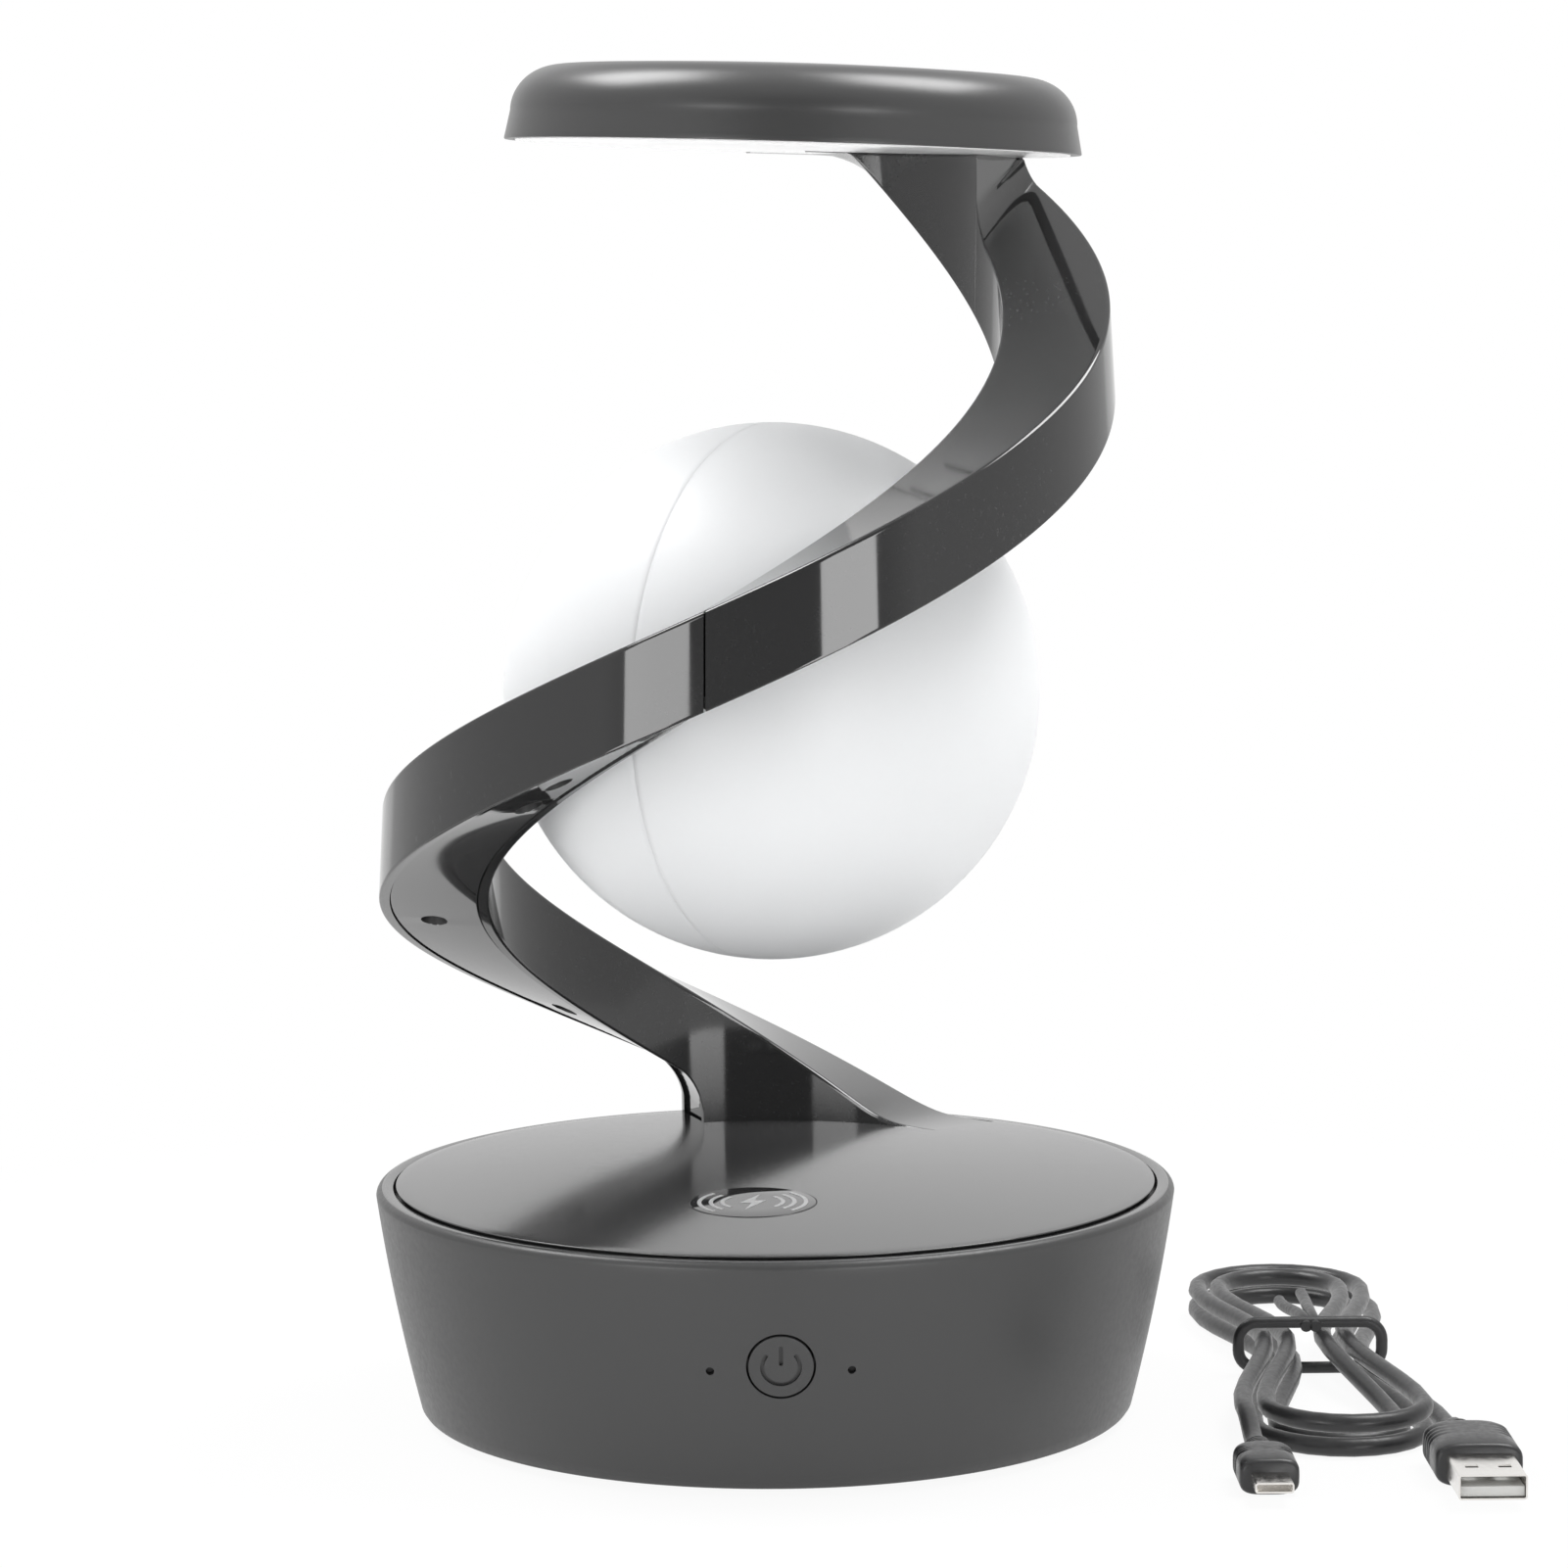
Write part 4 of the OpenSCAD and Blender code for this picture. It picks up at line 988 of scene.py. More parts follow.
def plug_grip(name, end, gap, size):
    """A plug's moulded body with its ribbed strain relief and finger grooves."""
    wide, long, high = size[0] / 2.0, size[1], size[2] / 2.0
    spots = [RELIEF_NECK]
    for i in range(4):
        spots += [(at + i, r, r, ROUND) for at, r in RELIEF_RIB]
    spots.append(RELIEF_END)
    spots += [(at, wide * w, high * h, power) for at, w, h, power in SHOULDER]
    for i in range(4):
        start = mix(GROOVES_FROM, long - GROOVES_TO, i / 4.0)
        spots += [(start + at, wide - deep, high, SQUARE) for at, deep in GROOVE]
    spots += [(long - at, wide - cut, high - cut, power) for at, cut, power in NOSE]
    place = at_hank((end.x, end.y - gap, size[2] / 2.0))
    rings = [[place + Vector((x, -at, z)) for x, z in oval(w, h, 48, power)] for at, w, h, power in spots]
    return solid(name, lofted(rings))


def plug_shell(name, end, gap, body, size):
    """A plug's folded metal shell: a hollow box with a rounded skin."""
    start = end.y - gap - body[1] - SHELL_GAP
    bm = block(at_hank((end.x, start - size[1] / 2.0, body[2] / 2.0)), size)
    long_edges = [e for e in bm.edges if abs((e.verts[0].co - e.verts[1].co).y) > size[1] * 0.9]
    bevelled(bm, long_edges, SHELL_EDGE, 4)
    mouth = [f for f in bm.faces if f.normal.y < -0.9]
    bmesh.ops.inset_region(bm, faces=mouth, thickness=SHELL_T, use_even_offset=True)
    mouth = [max((f for f in bm.faces if f.normal.y < -0.9), key=lambda f: f.calc_area())]
    deep = fresh(bmesh.ops.extrude_face_region(bm, geom=mouth)["geom"])
    bmesh.ops.delete(bm, geom=mouth, context="FACES_ONLY")
    bmesh.ops.translate(bm, verts=deep, vec=(0.0, size[1] - SHELL_BACK, 0.0))
    return solid(name, bm)


class LAMP_OT_cable(bpy.types.Operator):
    """Lays the cord in its hank on the table, with its two plugs and its tie"""

    bl_idname = "lamp.cable"
    bl_label = "Charging cable"

    def execute(self, context):
        hank = Hank()
        start, stop = hank.ends()
        route = [at_hank(p) * MM for p in hank.route()]
        data = bpy.data.curves.new("charging_cord", "CURVE")
        data.dimensions = "3D"
        line = data.splines.new("POLY")
        line.points.add(len(route) - 1)
        for spot, p in zip(line.points, route):
            spot.co = (p.x, p.y, p.z, 1.0)
        data.bevel_depth = hank.d / 2.0 * MM
        data.bevel_resolution = 5
        data.use_fill_caps = True
        line.use_smooth = True
        data.materials.append(cord_finish())
        cord = bpy.data.objects.new("charging_cord", data)
        context.scene.collection.objects.link(cord)
        cord.visible_glossy = False
        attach(cord, "lamp")
        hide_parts("cable_hank")
        grip_a = plug_grip("large_plug_grip", start, PLUG_A_GAP, PLUG_A)
        finished(grip_a, cord_finish(), ["usb_a_plug_body"], sharp=50.0)
        grip_m = plug_grip("small_plug_grip", stop, PLUG_M_GAP, PLUG_M)
        finished(grip_m, cord_finish(), ["micro_plug_body"], sharp=50.0)
        nose, middle = start.y - PLUG_A_GAP - PLUG_A[1], PLUG_A[2] / 2.0
        across, back, above = WINDOW_AT
        spots = [(start.x + across * side, nose - back, middle + above) for side in (-1.0, 1.0)]
        shell_a = plug_shell("large_plug_shell", start, PLUG_A_GAP, PLUG_A, PLUG_A_SHELL)
        carve(shell_a, solid("windows", gathered([block(at_hank(p), WINDOW) for p in spots])))
        finished(shell_a, nickel_finish(), ["usb_a_plug_shell"])
        tongue = block(at_hank((start.x, nose - TONGUE_AT[0], middle - TONGUE_AT[1])), TONGUE)
        bevelled(tongue, tongue.edges[:], TONGUE_EDGE, 2)
        plastic = moulded("tongue_white", (0.62, 0.62, 0.6), 0.45)
        inner = finished(solid("large_plug_tongue", tongue), plastic)
        shell_m = plug_shell("small_plug_shell", stop, PLUG_M_GAP, PLUG_M, PLUG_M_SHELL)
        finished(shell_m, nickel_finish(), ["micro_plug_shell"])
        tie = self.tie(hank)
        exit_at = tuple(at_hank((start.x, start.y - PLUG_A_GAP, PLUG_A[2] / 2.0)) * MM)
        long = sum((b - a).length for a, b in zip(route, route[1:]))
        hank.d * MM
        return {"FINISHED"}

    def tie(self, hank):
        """A sleeved wire bent round the waist of the hank, with its two cut ends."""
        wire, r = TIE_WIRE / 2.0, TIE_BEND
        half = hank.waist_out + hank.d / 2.0 + TIE_SIDE + wire
        low = wire + TIE_BELOW
        high = hank.d + hank.layer + hank.lift + TIE_ABOVE + wire
        right = [(half - r, low + r, -90.0), (half - r, high - r, 0.0)]
        left = [(r - half, high - r, 90.0), (r - half, low + r, 180.0)]
        path = [p for x, z, turn in right + left for p in arc(x, z, r, turn, turn + 90.0, 8)]
        loop = [at_hank((x, 0.0, z)) for x, z in path]
        loop.append(loop[0])
        parts = [tube(loop, wire)]
        near, far = TAIL_APART
        for side, long in TAILS:
            bend = [(side * near, TAIL_ROOT[0], high + TAIL_ROOT[1])]
            for t in spread(0.0, 1.0, 0.1):
                z = high + TAIL_FROM[1] - TAIL_DROP * ease(t)
                bend.append((side * mix(near, far, ease(t)), mix(TAIL_FROM[0], long, t), z))
            parts.append(tube([at_hank(p) for p in bend], wire))
        finish = moulded("tie_black", (0.014, 0.014, 0.015), 0.42, 900.0, 0.2, 0.08, (0.3, 0.00005))
        tie = solid("hank_wire_tie", gathered(parts))
        return finished(tie, finish, ["hank_tie"], sharp=50.0)


# Base pieces


class LAMP_OT_base(bpy.types.Operator):
    """Makes the round base housing and its domed top plate"""

    bl_idname = "lamp.base"
    bl_label = "Base and top plate"

    def execute(self, context):
        self.housing()
        self.plate()
        return {"FINISHED"}

    def housing(self):
        """The conical wall with its rounded rim and ledge."""
        size = sizes()
        top = size.base_height - RIM_DROP
        lip_z = top - RIM_SLOPE
        foot = arc(size.base_foot - FOOT_ROUND, FEET + FOOT_ROUND, FOOT_ROUND, -90.0, -10.0, 5)
        wall = [(wall_r(z), z) for z in spread(FEET + WALL_FROM, top - RIM_ROUND + WALL_PAST, WALL_STEP)]
        rim = arc(size.base_radius - RIM_ROUND, top - RIM_ROUND, RIM_ROUND, 8.0, 90.0, 10)
        lip = arc(WELL_R + LIP_ROUND, lip_z - LIP_ROUND, LIP_ROUND, 94.0, 180.0, 4)
        ledge = [(WELL_R, LEDGE_Z), (LEDGE_IN, LEDGE_Z), (LEDGE_IN, LEDGE_Z - LEDGE_T)]
        inside = [(wall_r(z) - WALL, z) for z in reversed(spread(*INSIDE_Z, INSIDE_STEP))]
        seat = [COVER_LIP, (COVER_LIP[0], COVER_SEAT[1]), COVER_SEAT, (COVER_SEAT[0], FEET)]
        housing = solid("base_housing_skin", spun(foot + wall + rim + lip + ledge + inside + seat, 240))
        out = button_place()
        cuts = [placed(rod(size.button_radius + BUTTON_GAP, CUT_FROM, CUT_TO, 96), out)]
        for side in (-1.0, 1.0):
            spot = Matrix.Translation((PIN_AT[0] * side, PIN_AT[1], 0.0))
            cuts.append(placed(rod(PIN_R, CUT_FROM, CUT_TO, 24), out @ spot))
        slot = arc(SLOT_HALF, 0.0, SLOT_R, -90.0, 90.0, 10) + arc(-SLOT_HALF, 0.0, SLOT_R, 90.0, 270.0, 10)
        behind = Matrix.Translation((0.0, size.base_radius + SLOT_PAST, SLOT_Z)) @ turned("X", 90.0)
        cuts.append(placed(pressed(slot, 0.0, SLOT_DEEP), behind))
        carve(housing, solid("openings", gathered(cuts)))
        finished(housing, base_finish(), ["base_housing"])
        housing.data.materials.append(plate_finish())
        for face in housing.data.polygons:
            if face.center.z > (lip_z - 0.05) * MM and face.normal.z > 0.95:
                face.material_index = 1

    def plate(self):
        """The domed plate, with the seats of the charging disc and of the arm's foot."""
        rows = [PLATE_R * i / 30 for i in range(30)]
        dome = [(r, deck_z(r)) for r in rows]
        edge = arc(PLATE_R - EDGE_ROUND, EDGE_Z - EDGE_ROUND, EDGE_ROUND, 86.0, -60.0, 8)
        neck = PLATE_R - EDGE_UNDERCUT
        under = [(neck, EDGE_Z - EDGE_T), (neck, LEDGE_Z), (PLATE_IN, LEDGE_Z)]
        under += [(PLATE_IN * i / 8, deck_z(PLATE_IN * i / 8) - PLATE_T) for i in range(8, -1, -1)]
        plate = solid("base_plate_skin", spun(dome + edge + under, 192, closed=False))
        seat = rod(sizes().disc_radius + DISC_GAP, DISC_SEAT, CUT_TO, 96)
        carve(plate, solid("disc_seat", placed(seat, disc_place())))
        ribbon = Ribbon()
        turns = spread(FOOT_FROM - SEAT_GAP, FOOT_END + SEAT_GAP, 2.0)
        outer = [ribbon.plan(ribbon.out_r(s) + SEAT_GAP, s) for s in turns]
        inner = [ribbon.plan(ribbon.in_r(s) - SEAT_GAP, s) for s in reversed(turns)]
        outline = [(p.x, p.y) for p in outer + inner]
        carve(plate, solid("foot_seat", pressed(outline, FOOT_SEAT, FOOT_SEAT + SEAT_CUT)))
        finished(plate, plate_finish(), ["base_top_plate"])


DISC_LOW = -0.75
DISC_HIGH = 0.05
DISC_EDGE = 0.25
BOLT = ((1.5, 5.8), (-2.4, -0.8), (-0.2, -0.8), (-1.4, -6.0), (2.4, 0.9), (0.3, 0.9))
WAVES = (5.9, 8.0, 10.1)
WAVE_LINE = 0.75
WAVE_SPAN = 44.0
PRINT_LOW = 0.03
PRINT_HIGH = 0.1


class LAMP_OT_charging_mark(bpy.types.Operator):
    """Makes the glossy charging disc and its printed sign"""

    bl_idname = "lamp.charging_mark"
    bl_label = "Charging disc and sign"

    def execute(self, context):
        r = sizes().disc_radius
        edge = arc(r - DISC_EDGE, DISC_HIGH - DISC_EDGE, DISC_EDGE, 0.0, 90.0, 5)
        profile = [(0.0, DISC_LOW), (r, DISC_LOW)] + edge + [(r * 0.5, DISC_HIGH), (0.0, DISC_HIGH)]
        finish = glossy("disc_gloss", colours().disc_black, 0.03, 0.02, 0.01, (0.02, 0.0001), IOR=1.6)
        disc = solid("charging_disc_skin", spun(profile, 128, closed=False), disc_place())
        finished(disc, finish, ["charging_disc"])
        outlines = [BOLT]
        for turn in (0.0, 180.0):
            outlines += [stroke(far, WAVE_LINE, turn - WAVE_SPAN, turn + WAVE_SPAN, 24) for far in WAVES]
        parts = [pressed(outline, PRINT_LOW, PRINT_HIGH) for outline in outlines]
        sign = solid("charging_sign", gathered(parts), disc_place())
        paint = moulded("sign_print", colours().print_grey, 0.4, 1800.0, 0.05, 0.04, (0.0, 0.00001))
        finished(sign, paint)
        return {"FINISHED"}


BUTTON_EDGE = 0.18
BUTTON_RISE = (0.08, 0.06, 0.05)
STEM_R = 2.0
STEM_Z = -6.0
FLANGE = 1.4
FLANGE_Z = (-4.2, -3.4)
SIGN_R = 3.3
SIGN_LINE = 0.7
SIGN_DEPTH = 0.6
SIGN_TURN = (138.0, 402.0)
SIGN_BAR = (0.2, 3.9)


class LAMP_OT_button(bpy.types.Operator):
    """Makes the power button with its engraved sign"""

    bl_idname = "lamp.button"
    bl_label = "Power button"

    def execute(self, context):
        r = sizes().button_radius
        wide, (low, high) = r + FLANGE, FLANGE_Z
        profile = [(0.0, STEM_Z), (STEM_R, STEM_Z), (STEM_R, low), (wide, low), (wide, high), (r, high)]
        profile += arc(r - BUTTON_EDGE, BUTTON_RISE[0] - BUTTON_EDGE, BUTTON_EDGE, 0.0, 90.0, 6)
        profile += [(r * share, z) for share, z in zip((0.6, 0.3, 0.0), BUTTON_RISE)]
        button = solid("power_button_skin", spun(profile, 128, closed=False), button_place())
        cap = SIGN_LINE / 2.0
        bar = arc(0.0, SIGN_BAR[1] - cap, cap, 0.0, 180.0, 10)
        bar += arc(0.0, SIGN_BAR[0] + cap, cap, 180.0, 360.0, 10)
        ring = stroke(SIGN_R + cap, SIGN_LINE, SIGN_TURN[0], SIGN_TURN[1], 64)
        parts = [pressed(outline, -SIGN_DEPTH, 1.0) for outline in (ring, bar)]
        carve(button, solid("sign", gathered(parts), button_place()))
        finished(button, base_finish(), ["power_button"], body="button")
        return {"FINISHED"}


# Arm pieces


class LAMP_OT_arm(bpy.types.Operator):
    """Makes the two channels of the spiral arm"""

    bl_idname = "lamp.arm"
    bl_label = "Spiral arm"

    def execute(self, context):
        ribbon = Ribbon()
        nigh = 2.0 * CLOSE
        lower = spread(FOOT_FROM, FOOT_SOLID, ARM_STEP) + [FOOT_SOLID + nigh]
        lower += spread(FOOT_SOLID + ARM_STEP, FOOT_END, ARM_STEP)
        lower += [FOOT_END + CLOSE + t for t in FILLET_STEPS]
        lower += spread(FOOT_END + nigh + FILLET_DEG, ARM_SEAM - SEAM_GAP, ARM_STEP)
        upper = spread(ARM_SEAM, HEAD_END - FILLET_DEG - nigh, ARM_STEP)
        upper += [HEAD_END - CLOSE - t for t in reversed(FILLET_STEPS)]
        upper += [HEAD_END, HEAD_END + CLOSE, HEAD_END + CAVE_PAST - nigh, HEAD_END + CAVE_PAST + nigh]
        upper += spread(HEAD_END + 3.0 * ARM_STEP, TOE_SOLID - nigh, ARM_STEP)
        upper += spread(TOE_SOLID, TOE_END, ARM_STEP)
        edge = sizes().ribbon_edge
        rounds = (edge * LOWER_EDGE, edge, edge, edge * LOWER_EDGE, 0.0, 0.0, 0.0, 0.0)
        for name, stations in (("lower", lower), ("upper", upper)):
            rings = [eased_corners(ribbon.channel(s), rounds) for s in stations]
            arm = solid("arm_%s_skin" % name, lofted(rings))
            finished(arm, arm_finish(), ["arm_%s_channel" % name])
        return {"FINISHED"}


class LAMP_OT_arm_covers(bpy.types.Operator):
    """Makes the two cover strips under the arm, with their sunk screw holes"""

    bl_idname = "lamp.arm_covers"
    bl_label = "Arm cover strips"

    def execute(self, context):
        ribbon = Ribbon()
        lead = FOOT_END - STRIP_LEAD
        low = [lead - STRIP_TAIL, lead - CLOSE] + [lead + CLOSE + t for t in FILLET_STEPS]
        low += spread(lead + 2.0 * CLOSE + FILLET_DEG, STRIP_SPLIT - STRIP_JOINT, STRIP_STEP)
        high = spread(STRIP_SPLIT, TOE_SOLID - STRIP_STOP, STRIP_STEP)
        rounds = (STRIP_EDGE, 0.0, 0.0, STRIP_EDGE)
        finish = glossy("cover_gloss", colours().cover_grey, 0.035, 0.03, 0.04, (0.02, 0.0001), IOR=1.78)
        shade = moulded("socket_black", (0.016, 0.016, 0.0164), 0.55)
        for name, stations, screws in (("lower", low, LOW_SCREWS), ("upper", high, UP_SCREWS)):
            rings = [eased_corners(ribbon.strip(s, STRIP_T), rounds, 3) for s in stations]
            strip = solid("arm_%s_strip" % name, lofted(rings))
            sinks, cups = [], []
            for s, share in screws:
                spot = Matrix.Translation(ribbon.screw_seat(s, share))
                sinks.append(placed(rod(SINK_R, -SINK_PAST, SINK_H + SINK_PAST, 48), spot))
                cups.append(placed(self.cup(ribbon, s, share), spot))
            carve(strip, solid("sinks", gathered(sinks)))
            finished(strip, finish, ["arm_%s_cover" % name])
            sockets = solid("arm_%s_sockets" % name, gathered(cups))
            finished(sockets, shade)
        return {"FINISHED"}

    def cup(self, ribbon, s, share):
        """The socket of a sunk screw, with its lower edge at the slope of the strip."""
        hole, skin, low = SINK_R - CUP_T, SINK_R - CUP_FIT, STRIP_INSET + CUP_INSET
        wall = [(hole, low), (skin, low), (skin, CUP_BRIM), (CUP_R, CUP_BRIM), (CUP_R, CUP_H)]
        bm = spun(wall + [(CUP_HOLE, CUP_H), (CUP_HOLE, SINK_H), (hole, SINK_H)], 48)
        along = ribbon.screw_seat(s + 1.0, share) - ribbon.screw_seat(s - 1.0, share)
        across = ribbon.screw_seat(s, 1.0) - ribbon.screw_seat(s, 0.0)
        up = across.cross(along)
        for v in bm.verts:
            if v.co.z < low + 0.1:
                v.co.z -= (up.x * v.co.x + up.y * v.co.y) / up.z
        return bm


# Globe and head

GLOBE_Z = 136.1
GLOBE_TURN = 239.25
GLOBE_WALL = 1.6
SEAM_RIM = 0.025
SEAM_LIP = ((0.008, 0.015), (0.04, 0.008))
HEAD_WALL = 1.8
HEAD_LIP = 0.2
HEAD_EDGE = 0.45
HEAD_CORNER = 3.0
HEAD_STEP = (1.9, 4.3)
HEAD_SIDE = (1.0, 5.5)
HEAD_CROWN = (10.2, 1.25)
PANEL_GAP = 2.0
PANEL_T = 2.3


class LAMP_OT_globe(bpy.types.Operator):
    """Makes the two frosted halves of the globe"""

    bl_idname = "lamp.globe"
    bl_label = "Frosted globe"

    def execute(self, context):
        r = sizes().globe_radius
        rim = math.degrees(SEAM_RIM / r)
        outside = arc(0.0, 0.0, r, 90.0, rim, 72)
        lip = [(r - back, z) for back, z in SEAM_LIP]
        inside = arc(0.0, 0.0, r - GLOBE_WALL, rim, 90.0, 48)
        finish = moulded(
            "globe_frosted", colours().globe_white, 0.42, 1500.0, 0.01, 0.03, (0.05, 0.00003),
            Subsurface_Weight=0.25, Subsurface_Scale=0.004, Subsurface_Radius=(1.0, 1.0, 1.0))
        spot = Matrix.Translation((0.0, 0.0, GLOBE_Z)) @ turned("Z", GLOBE_TURN)
        for name, turn in (("front", -90.0), ("rear", 90.0)):
            skin = spun(outside + lip + inside, 192, closed=False)
            half = solid("globe_%s_half" % name, skin, spot @ turned("X", turn))
            finished(half, finish, ["globe_%s_shell" % name], sharp=60.0)
        return {"FINISHED"}


class LAMP_OT_head(bpy.types.Operator):
    """Makes the lamp head's shell and its white panel"""

    bl_idname = "lamp.head"
    bl_label = "Lamp head"

    def execute(self, context):
        size = sizes()
        spot = Matrix.Translation((HEAD_AT[0], HEAD_AT[1], size.base_height + HEAD_RISE))
        place = spot @ Matrix.Rotation(HEAD_TILT, 4, "Y")
        r, h = size.head_radius, size.head_height
        side_r, side_z = r - HEAD_SIDE[0], HEAD_SIDE[1]
        crown_r, crown_z = r - HEAD_CROWN[0], h - HEAD_CROWN[1]
        lip = arc(r - HEAD_LIP, 2.0 * HEAD_LIP, HEAD_LIP, -90.0, 0.0, 4)
        side = [(mix(r, side_r, t / 6.0), mix(HEAD_EDGE, side_z, t / 6.0)) for t in range(7)]
        crown = arc(crown_r, side_z, side_r - crown_r, 3.0, 90.0, 24, high=crown_z - side_z)
        dome = [(crown_r * i / 16, h - (h - crown_z) * (i / 16) ** 2) for i in range(15, -1, -1)]
        inside = [(0.0, h - HEAD_WALL), (crown_r, crown_z - HEAD_WALL)]
        inside += [(side_r - HEAD_CORNER, side_z + HEAD_CORNER), (side_r - HEAD_STEP[0], HEAD_STEP[1])]
        inside += [(r - HEAD_WALL, PANEL_T), (r - HEAD_WALL, HEAD_LIP)]
        shell = solid("head_shell_skin", spun(lip + side + crown + dome + inside, 240), place)
        finished(shell, head_finish(), ["head_shell"])
        pr = r - PANEL_GAP
        edge = arc(pr - HEAD_LIP, HEAD_LIP, HEAD_LIP, -90.0, 0.0, 4)
        panel = [(0.0, 0.0), (pr * 0.5, 0.0)] + edge + [(pr, PANEL_T), (0.0, PANEL_T)]
        white = moulded("panel_white", colours().diffuser_white, 0.17, 1500.0, 0.01, 0.004, (0.0, 0.00001))
        diffuser = solid("head_panel", spun(panel, 192, closed=False), place)
        finished(diffuser, white, ["head_diffuser"])
        return {"FINISHED"}


# Pieces kept from the solids


class LAMP_OT_fittings(bpy.types.Operator):
    """Gives the screws, boards and other inner pieces their finishes"""

    bl_idname = "lamp.fittings"
    bl_label = "Fittings and inner pieces"

    def execute(self, context):
        steel = metal("screw_zinc", (0.42, 0.42, 0.44), 0.32, 900.0, 0.15, 0.08, (0.1, 0.00003))
        iron = metal("ballast_iron", (0.2, 0.2, 0.21), 0.5, 500.0, 0.25, 0.1, (0.3, 0.0001))
        copper = metal("coil_copper", (0.7, 0.32, 0.15), 0.3, 1400.0, 0.2, 0.05, (0.4, 0.0001))
        dark = moulded("dark_plastic", (0.02, 0.02, 0.021), 0.5, 1800.0, 0.15)
        rubber = moulded("foot_rubber", (0.018, 0.018, 0.018), 0.7, 1200.0, 0.2, 0.08, (0.4, 0.00006))
        board = moulded("board_green", (0.012, 0.09, 0.04), 0.3, 500.0, 0.25)
        white = moulded("board_white", (0.78, 0.78, 0.78), 0.35, 700.0, 0.03)
        finishes = {
            "bottom_cover": dark, "rubber_feet": rubber, "bottom_screws": steel, "ballast_plate": iron,
            "main_board": board, "usb_socket": nickel_finish(), "charging_coil": copper,
            "ferrite_sheet": moulded("ferrite", (0.04, 0.04, 0.045), 0.6, 900.0, 0.3),
            "switch_plunger": dark, "tact_switch": dark, "button_board": board,
            # The status light pipes are near black: painted shade, so the pin holes in front of them read
            # dark.
            "status_leds": moulded("light_pipe_painted_shade", (0.004, 0.004, 0.0042), 0.6, 900.0, 0.05),
            "foot_screws": steel,
            "arm_screws": moulded("screw_black", (0.02, 0.02, 0.02), 0.35, 900.0, 0.2),
            "arm_lead": rubber, "head_led_board": white, "head_screws": steel, "head_board_screws": steel,
            "globe_neck": arm_finish(), "globe_nut": steel, "globe_led_board": white,
        }
        for node, finish in finishes.items():
            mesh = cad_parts[node].data
            mesh.materials.clear()
            mesh.materials.append(finish)
        return {"FINISHED"}


# Studio

FLOOR_R = 520.0
FLOOR_Z = -0.2
FLOOR_WHITE = (0.9, 0.9, 0.9, 1.0)

# Ranges of remap: from low, from high, to low and to high
FLOOR_FADE = (0.08, 0.3, 0.93, 1.0)
GLOSS_FRONT = (-0.86, -0.66, 0.28, 0.74)
GLOSS_BEHIND = (0.84, 0.87, 0.0, 0.26)

# Places and sizes of the lights in metres
AIM = (0.0, 0.0, 0.12)
UPPER_LEFT = (-0.7, 0.3, 1.4)
UPPER_RIGHT = (0.6, 0.2, 1.4)
UPPER_SIZE = (0.7, 0.7)
UPPER_LEFT_SHARE = 0.52
SIDE_LEFT = (-1.1, -0.85, 0.35)
SIDE_RIGHT = (1.1, -0.85, 0.35)
SIDE_SIZE = (0.9, 1.0)
UPRIGHTS = (("right_strip", 26.0, 0.42), ("left_strip", -31.0, 0.48))
UPRIGHT_FAR = 1.4
UPRIGHT_Z = 0.05
UPRIGHT_HIGH = 0.76


def area_light(name, spot, aim, size, power, gloss=True, matte=True):
    """A soft rectangular light pointed at a place, that shows in gloss, on matte surfaces or on both."""
    data = bpy.data.lights.new(name, "AREA")
    data.shape = "RECTANGLE"
    data.size, data.size_y = size
    data.energy = power
    light = bpy.data.objects.new(name, data)
    light.visible_glossy = gloss
    light.visible_diffuse = matte
    bpy.context.scene.collection.objects.link(light)
    way = Vector(aim) - Vector(spot)
    light.matrix_world = Matrix.Translation(spot) @ way.to_track_quat("-Z", "Y").to_matrix().to_4x4()


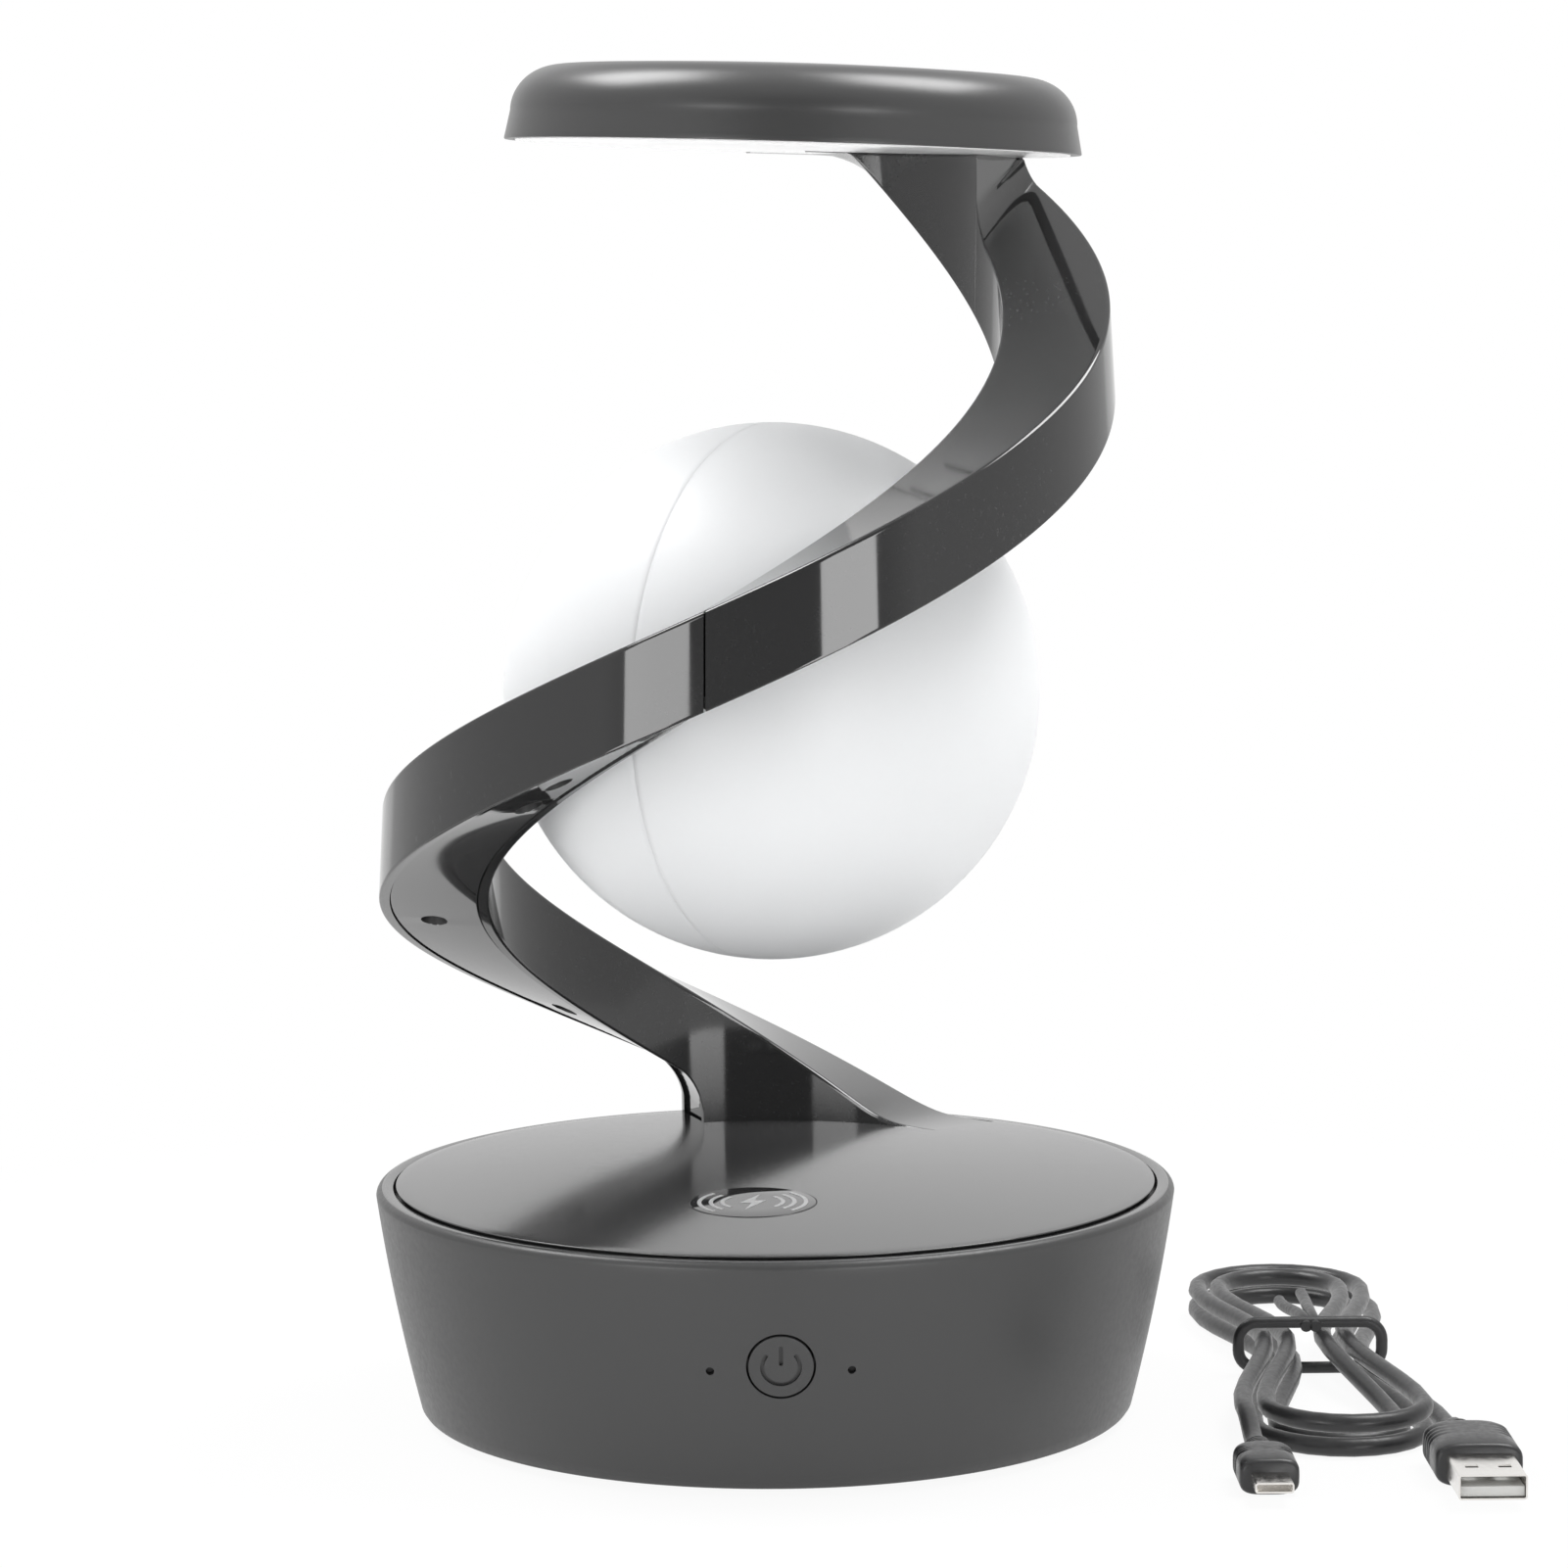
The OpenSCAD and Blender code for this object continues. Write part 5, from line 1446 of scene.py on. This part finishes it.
class LAMP_OT_stage(bpy.types.Operator):
    """Sets the white floor, the even surround and the studio lights"""

    bl_idname = "lamp.stage"
    bl_label = "Floor and lights"

    def execute(self, context):
        lights = context.scene.lamp_lights
        context.scene.view_settings.view_transform = "Standard"
        self.surround(lights.surround)
        self.floor()
        left_share, right_share = UPPER_LEFT_SHARE, 1.0 - UPPER_LEFT_SHARE
        area_light("upper_left_light", UPPER_LEFT, AIM, UPPER_SIZE, lights.overhead * left_share)
        area_light("upper_right_light", UPPER_RIGHT, AIM, UPPER_SIZE, lights.overhead * right_share)
        area_light("left_light", SIDE_LEFT, AIM, SIDE_SIZE, lights.left_side, gloss=False)
        area_light("right_light", SIDE_RIGHT, AIM, SIDE_SIZE, lights.right_side, gloss=False)
        for name, turn, wide in UPRIGHTS:
            t = math.radians(turn)
            spot = (UPRIGHT_FAR * math.sin(t), -UPRIGHT_FAR * math.cos(t), UPRIGHT_Z)
            size = (wide, UPRIGHT_HIGH)
            area_light(name, spot, (0.0, 0.0, UPRIGHT_Z), size, lights.strips, matte=False)
        return {"FINISHED"}

    def surround(self, amount):
        """An even white world, white where it is seen; gloss mirrors a dimmer studio front."""
        world = bpy.data.worlds.new("white_surround")
        tree = cleared(world)
        path = add(tree, "ShaderNodeLightPath")
        way = add(tree, "ShaderNodeTexCoord").outputs["Generated"]
        depth = add(tree, "ShaderNodeSeparateXYZ", way).outputs["Y"]
        gloss = calc(tree, "ADD", remap(tree, depth, *GLOSS_FRONT), remap(tree, depth, *GLOSS_BEHIND))
        dim = calc(tree, "ADD", path.outputs["Is Camera Ray"], gloss)
        plain = add(tree, "ShaderNodeBackground", Strength=amount, Color=WHITE)
        shown = add(tree, "ShaderNodeBackground", Strength=calc(tree, "MINIMUM", dim, 1.0), Color=WHITE)
        blend = add(tree, "ShaderNodeMixShader", self.seen(tree, path), plain.outputs[0], shown.outputs[0])
        add(tree, "ShaderNodeOutputWorld", Surface=blend.outputs[0])
        bpy.context.scene.world = world

    def seen(self, tree, path):
        """1 for rays that show the background: camera, gloss and glass."""
        total = path.outputs["Is Camera Ray"]
        for ray in ("Is Glossy Ray", "Is Transmission Ray"):
            total = calc(tree, "MAXIMUM", total, path.outputs[ray])
        return total

    def floor(self):
        """A round white floor that keeps a soft shadow near the lamp and fades into the surround."""
        bm = bmesh.new()
        bmesh.ops.create_circle(bm, cap_ends=True, segments=96, radius=FLOOR_R)
        floor = solid("floor", bm, Matrix.Translation((0.0, 0.0, FLOOR_Z)))
        finish = bpy.data.materials.new("floor_white")
        tree = cleared(finish)
        path = add(tree, "ShaderNodeLightPath")
        matte = add(tree, "ShaderNodeBsdfDiffuse", Color=FLOOR_WHITE)
        glow = add(tree, "ShaderNodeEmission", Color=WHITE, Strength=1.0)
        coords = add(tree, "ShaderNodeTexCoord").outputs["Object"]
        reach = add(tree, "ShaderNodeVectorMath", coords, operation="LENGTH").outputs["Value"]
        amount = calc(tree, "MULTIPLY", remap(tree, reach, *FLOOR_FADE), self.seen(tree, path))
        blend = add(tree, "ShaderNodeMixShader", amount, matte.outputs[0], glow.outputs[0])
        add(tree, "ShaderNodeOutputMaterial", Surface=blend.outputs[0])
        floor.data.materials.append(finish)


# Panel and registering

STEPS = (
    LAMP_OT_camera, LAMP_OT_cable, LAMP_OT_base, LAMP_OT_charging_mark, LAMP_OT_button, LAMP_OT_arm,
    LAMP_OT_arm_covers, LAMP_OT_globe, LAMP_OT_head, LAMP_OT_fittings, LAMP_OT_stage,
)


class LAMP_PT_panel(bpy.types.Panel):
    """Lists the lamp's making steps and settings"""

    bl_idname = "LAMP_PT_panel"
    bl_label = "Spiral table lamp"
    bl_space_type = "VIEW_3D"
    bl_region_type = "UI"
    bl_category = "Lamp"

    def draw(self, context):
        for step in STEPS:
            self.layout.operator(step.bl_idname)
        for label in ("lamp_sizes", "lamp_colours", "lamp_lights"):
            group = getattr(context.scene, label)
            box = self.layout.box()
            for name in group.__annotations__:
                box.prop(group, name)


CLASSES = (LampSizes, LampColours, LampLights) + STEPS + (LAMP_PT_panel,)


def register():
    """Registers the classes and the scene's settings."""
    for cls in CLASSES:
        bpy.utils.register_class(cls)
    bpy.types.Scene.lamp_sizes = PointerProperty(type=LampSizes)
    bpy.types.Scene.lamp_colours = PointerProperty(type=LampColours)
    bpy.types.Scene.lamp_lights = PointerProperty(type=LampLights)


def unregister():
    """Removes the classes and the scene's settings."""
    del bpy.types.Scene.lamp_lights
    del bpy.types.Scene.lamp_colours
    del bpy.types.Scene.lamp_sizes
    for cls in reversed(CLASSES):
        bpy.utils.unregister_class(cls)


def main():
    """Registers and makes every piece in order."""
    register()
    bpy.ops.lamp.camera()
    bpy.ops.lamp.cable()
    bpy.ops.lamp.base()
    bpy.ops.lamp.charging_mark()
    bpy.ops.lamp.button()
    bpy.ops.lamp.arm()
    bpy.ops.lamp.arm_covers()
    bpy.ops.lamp.globe()
    bpy.ops.lamp.head()
    bpy.ops.lamp.fittings()
    bpy.ops.lamp.stage()


if __name__ == "__main__":
    main()
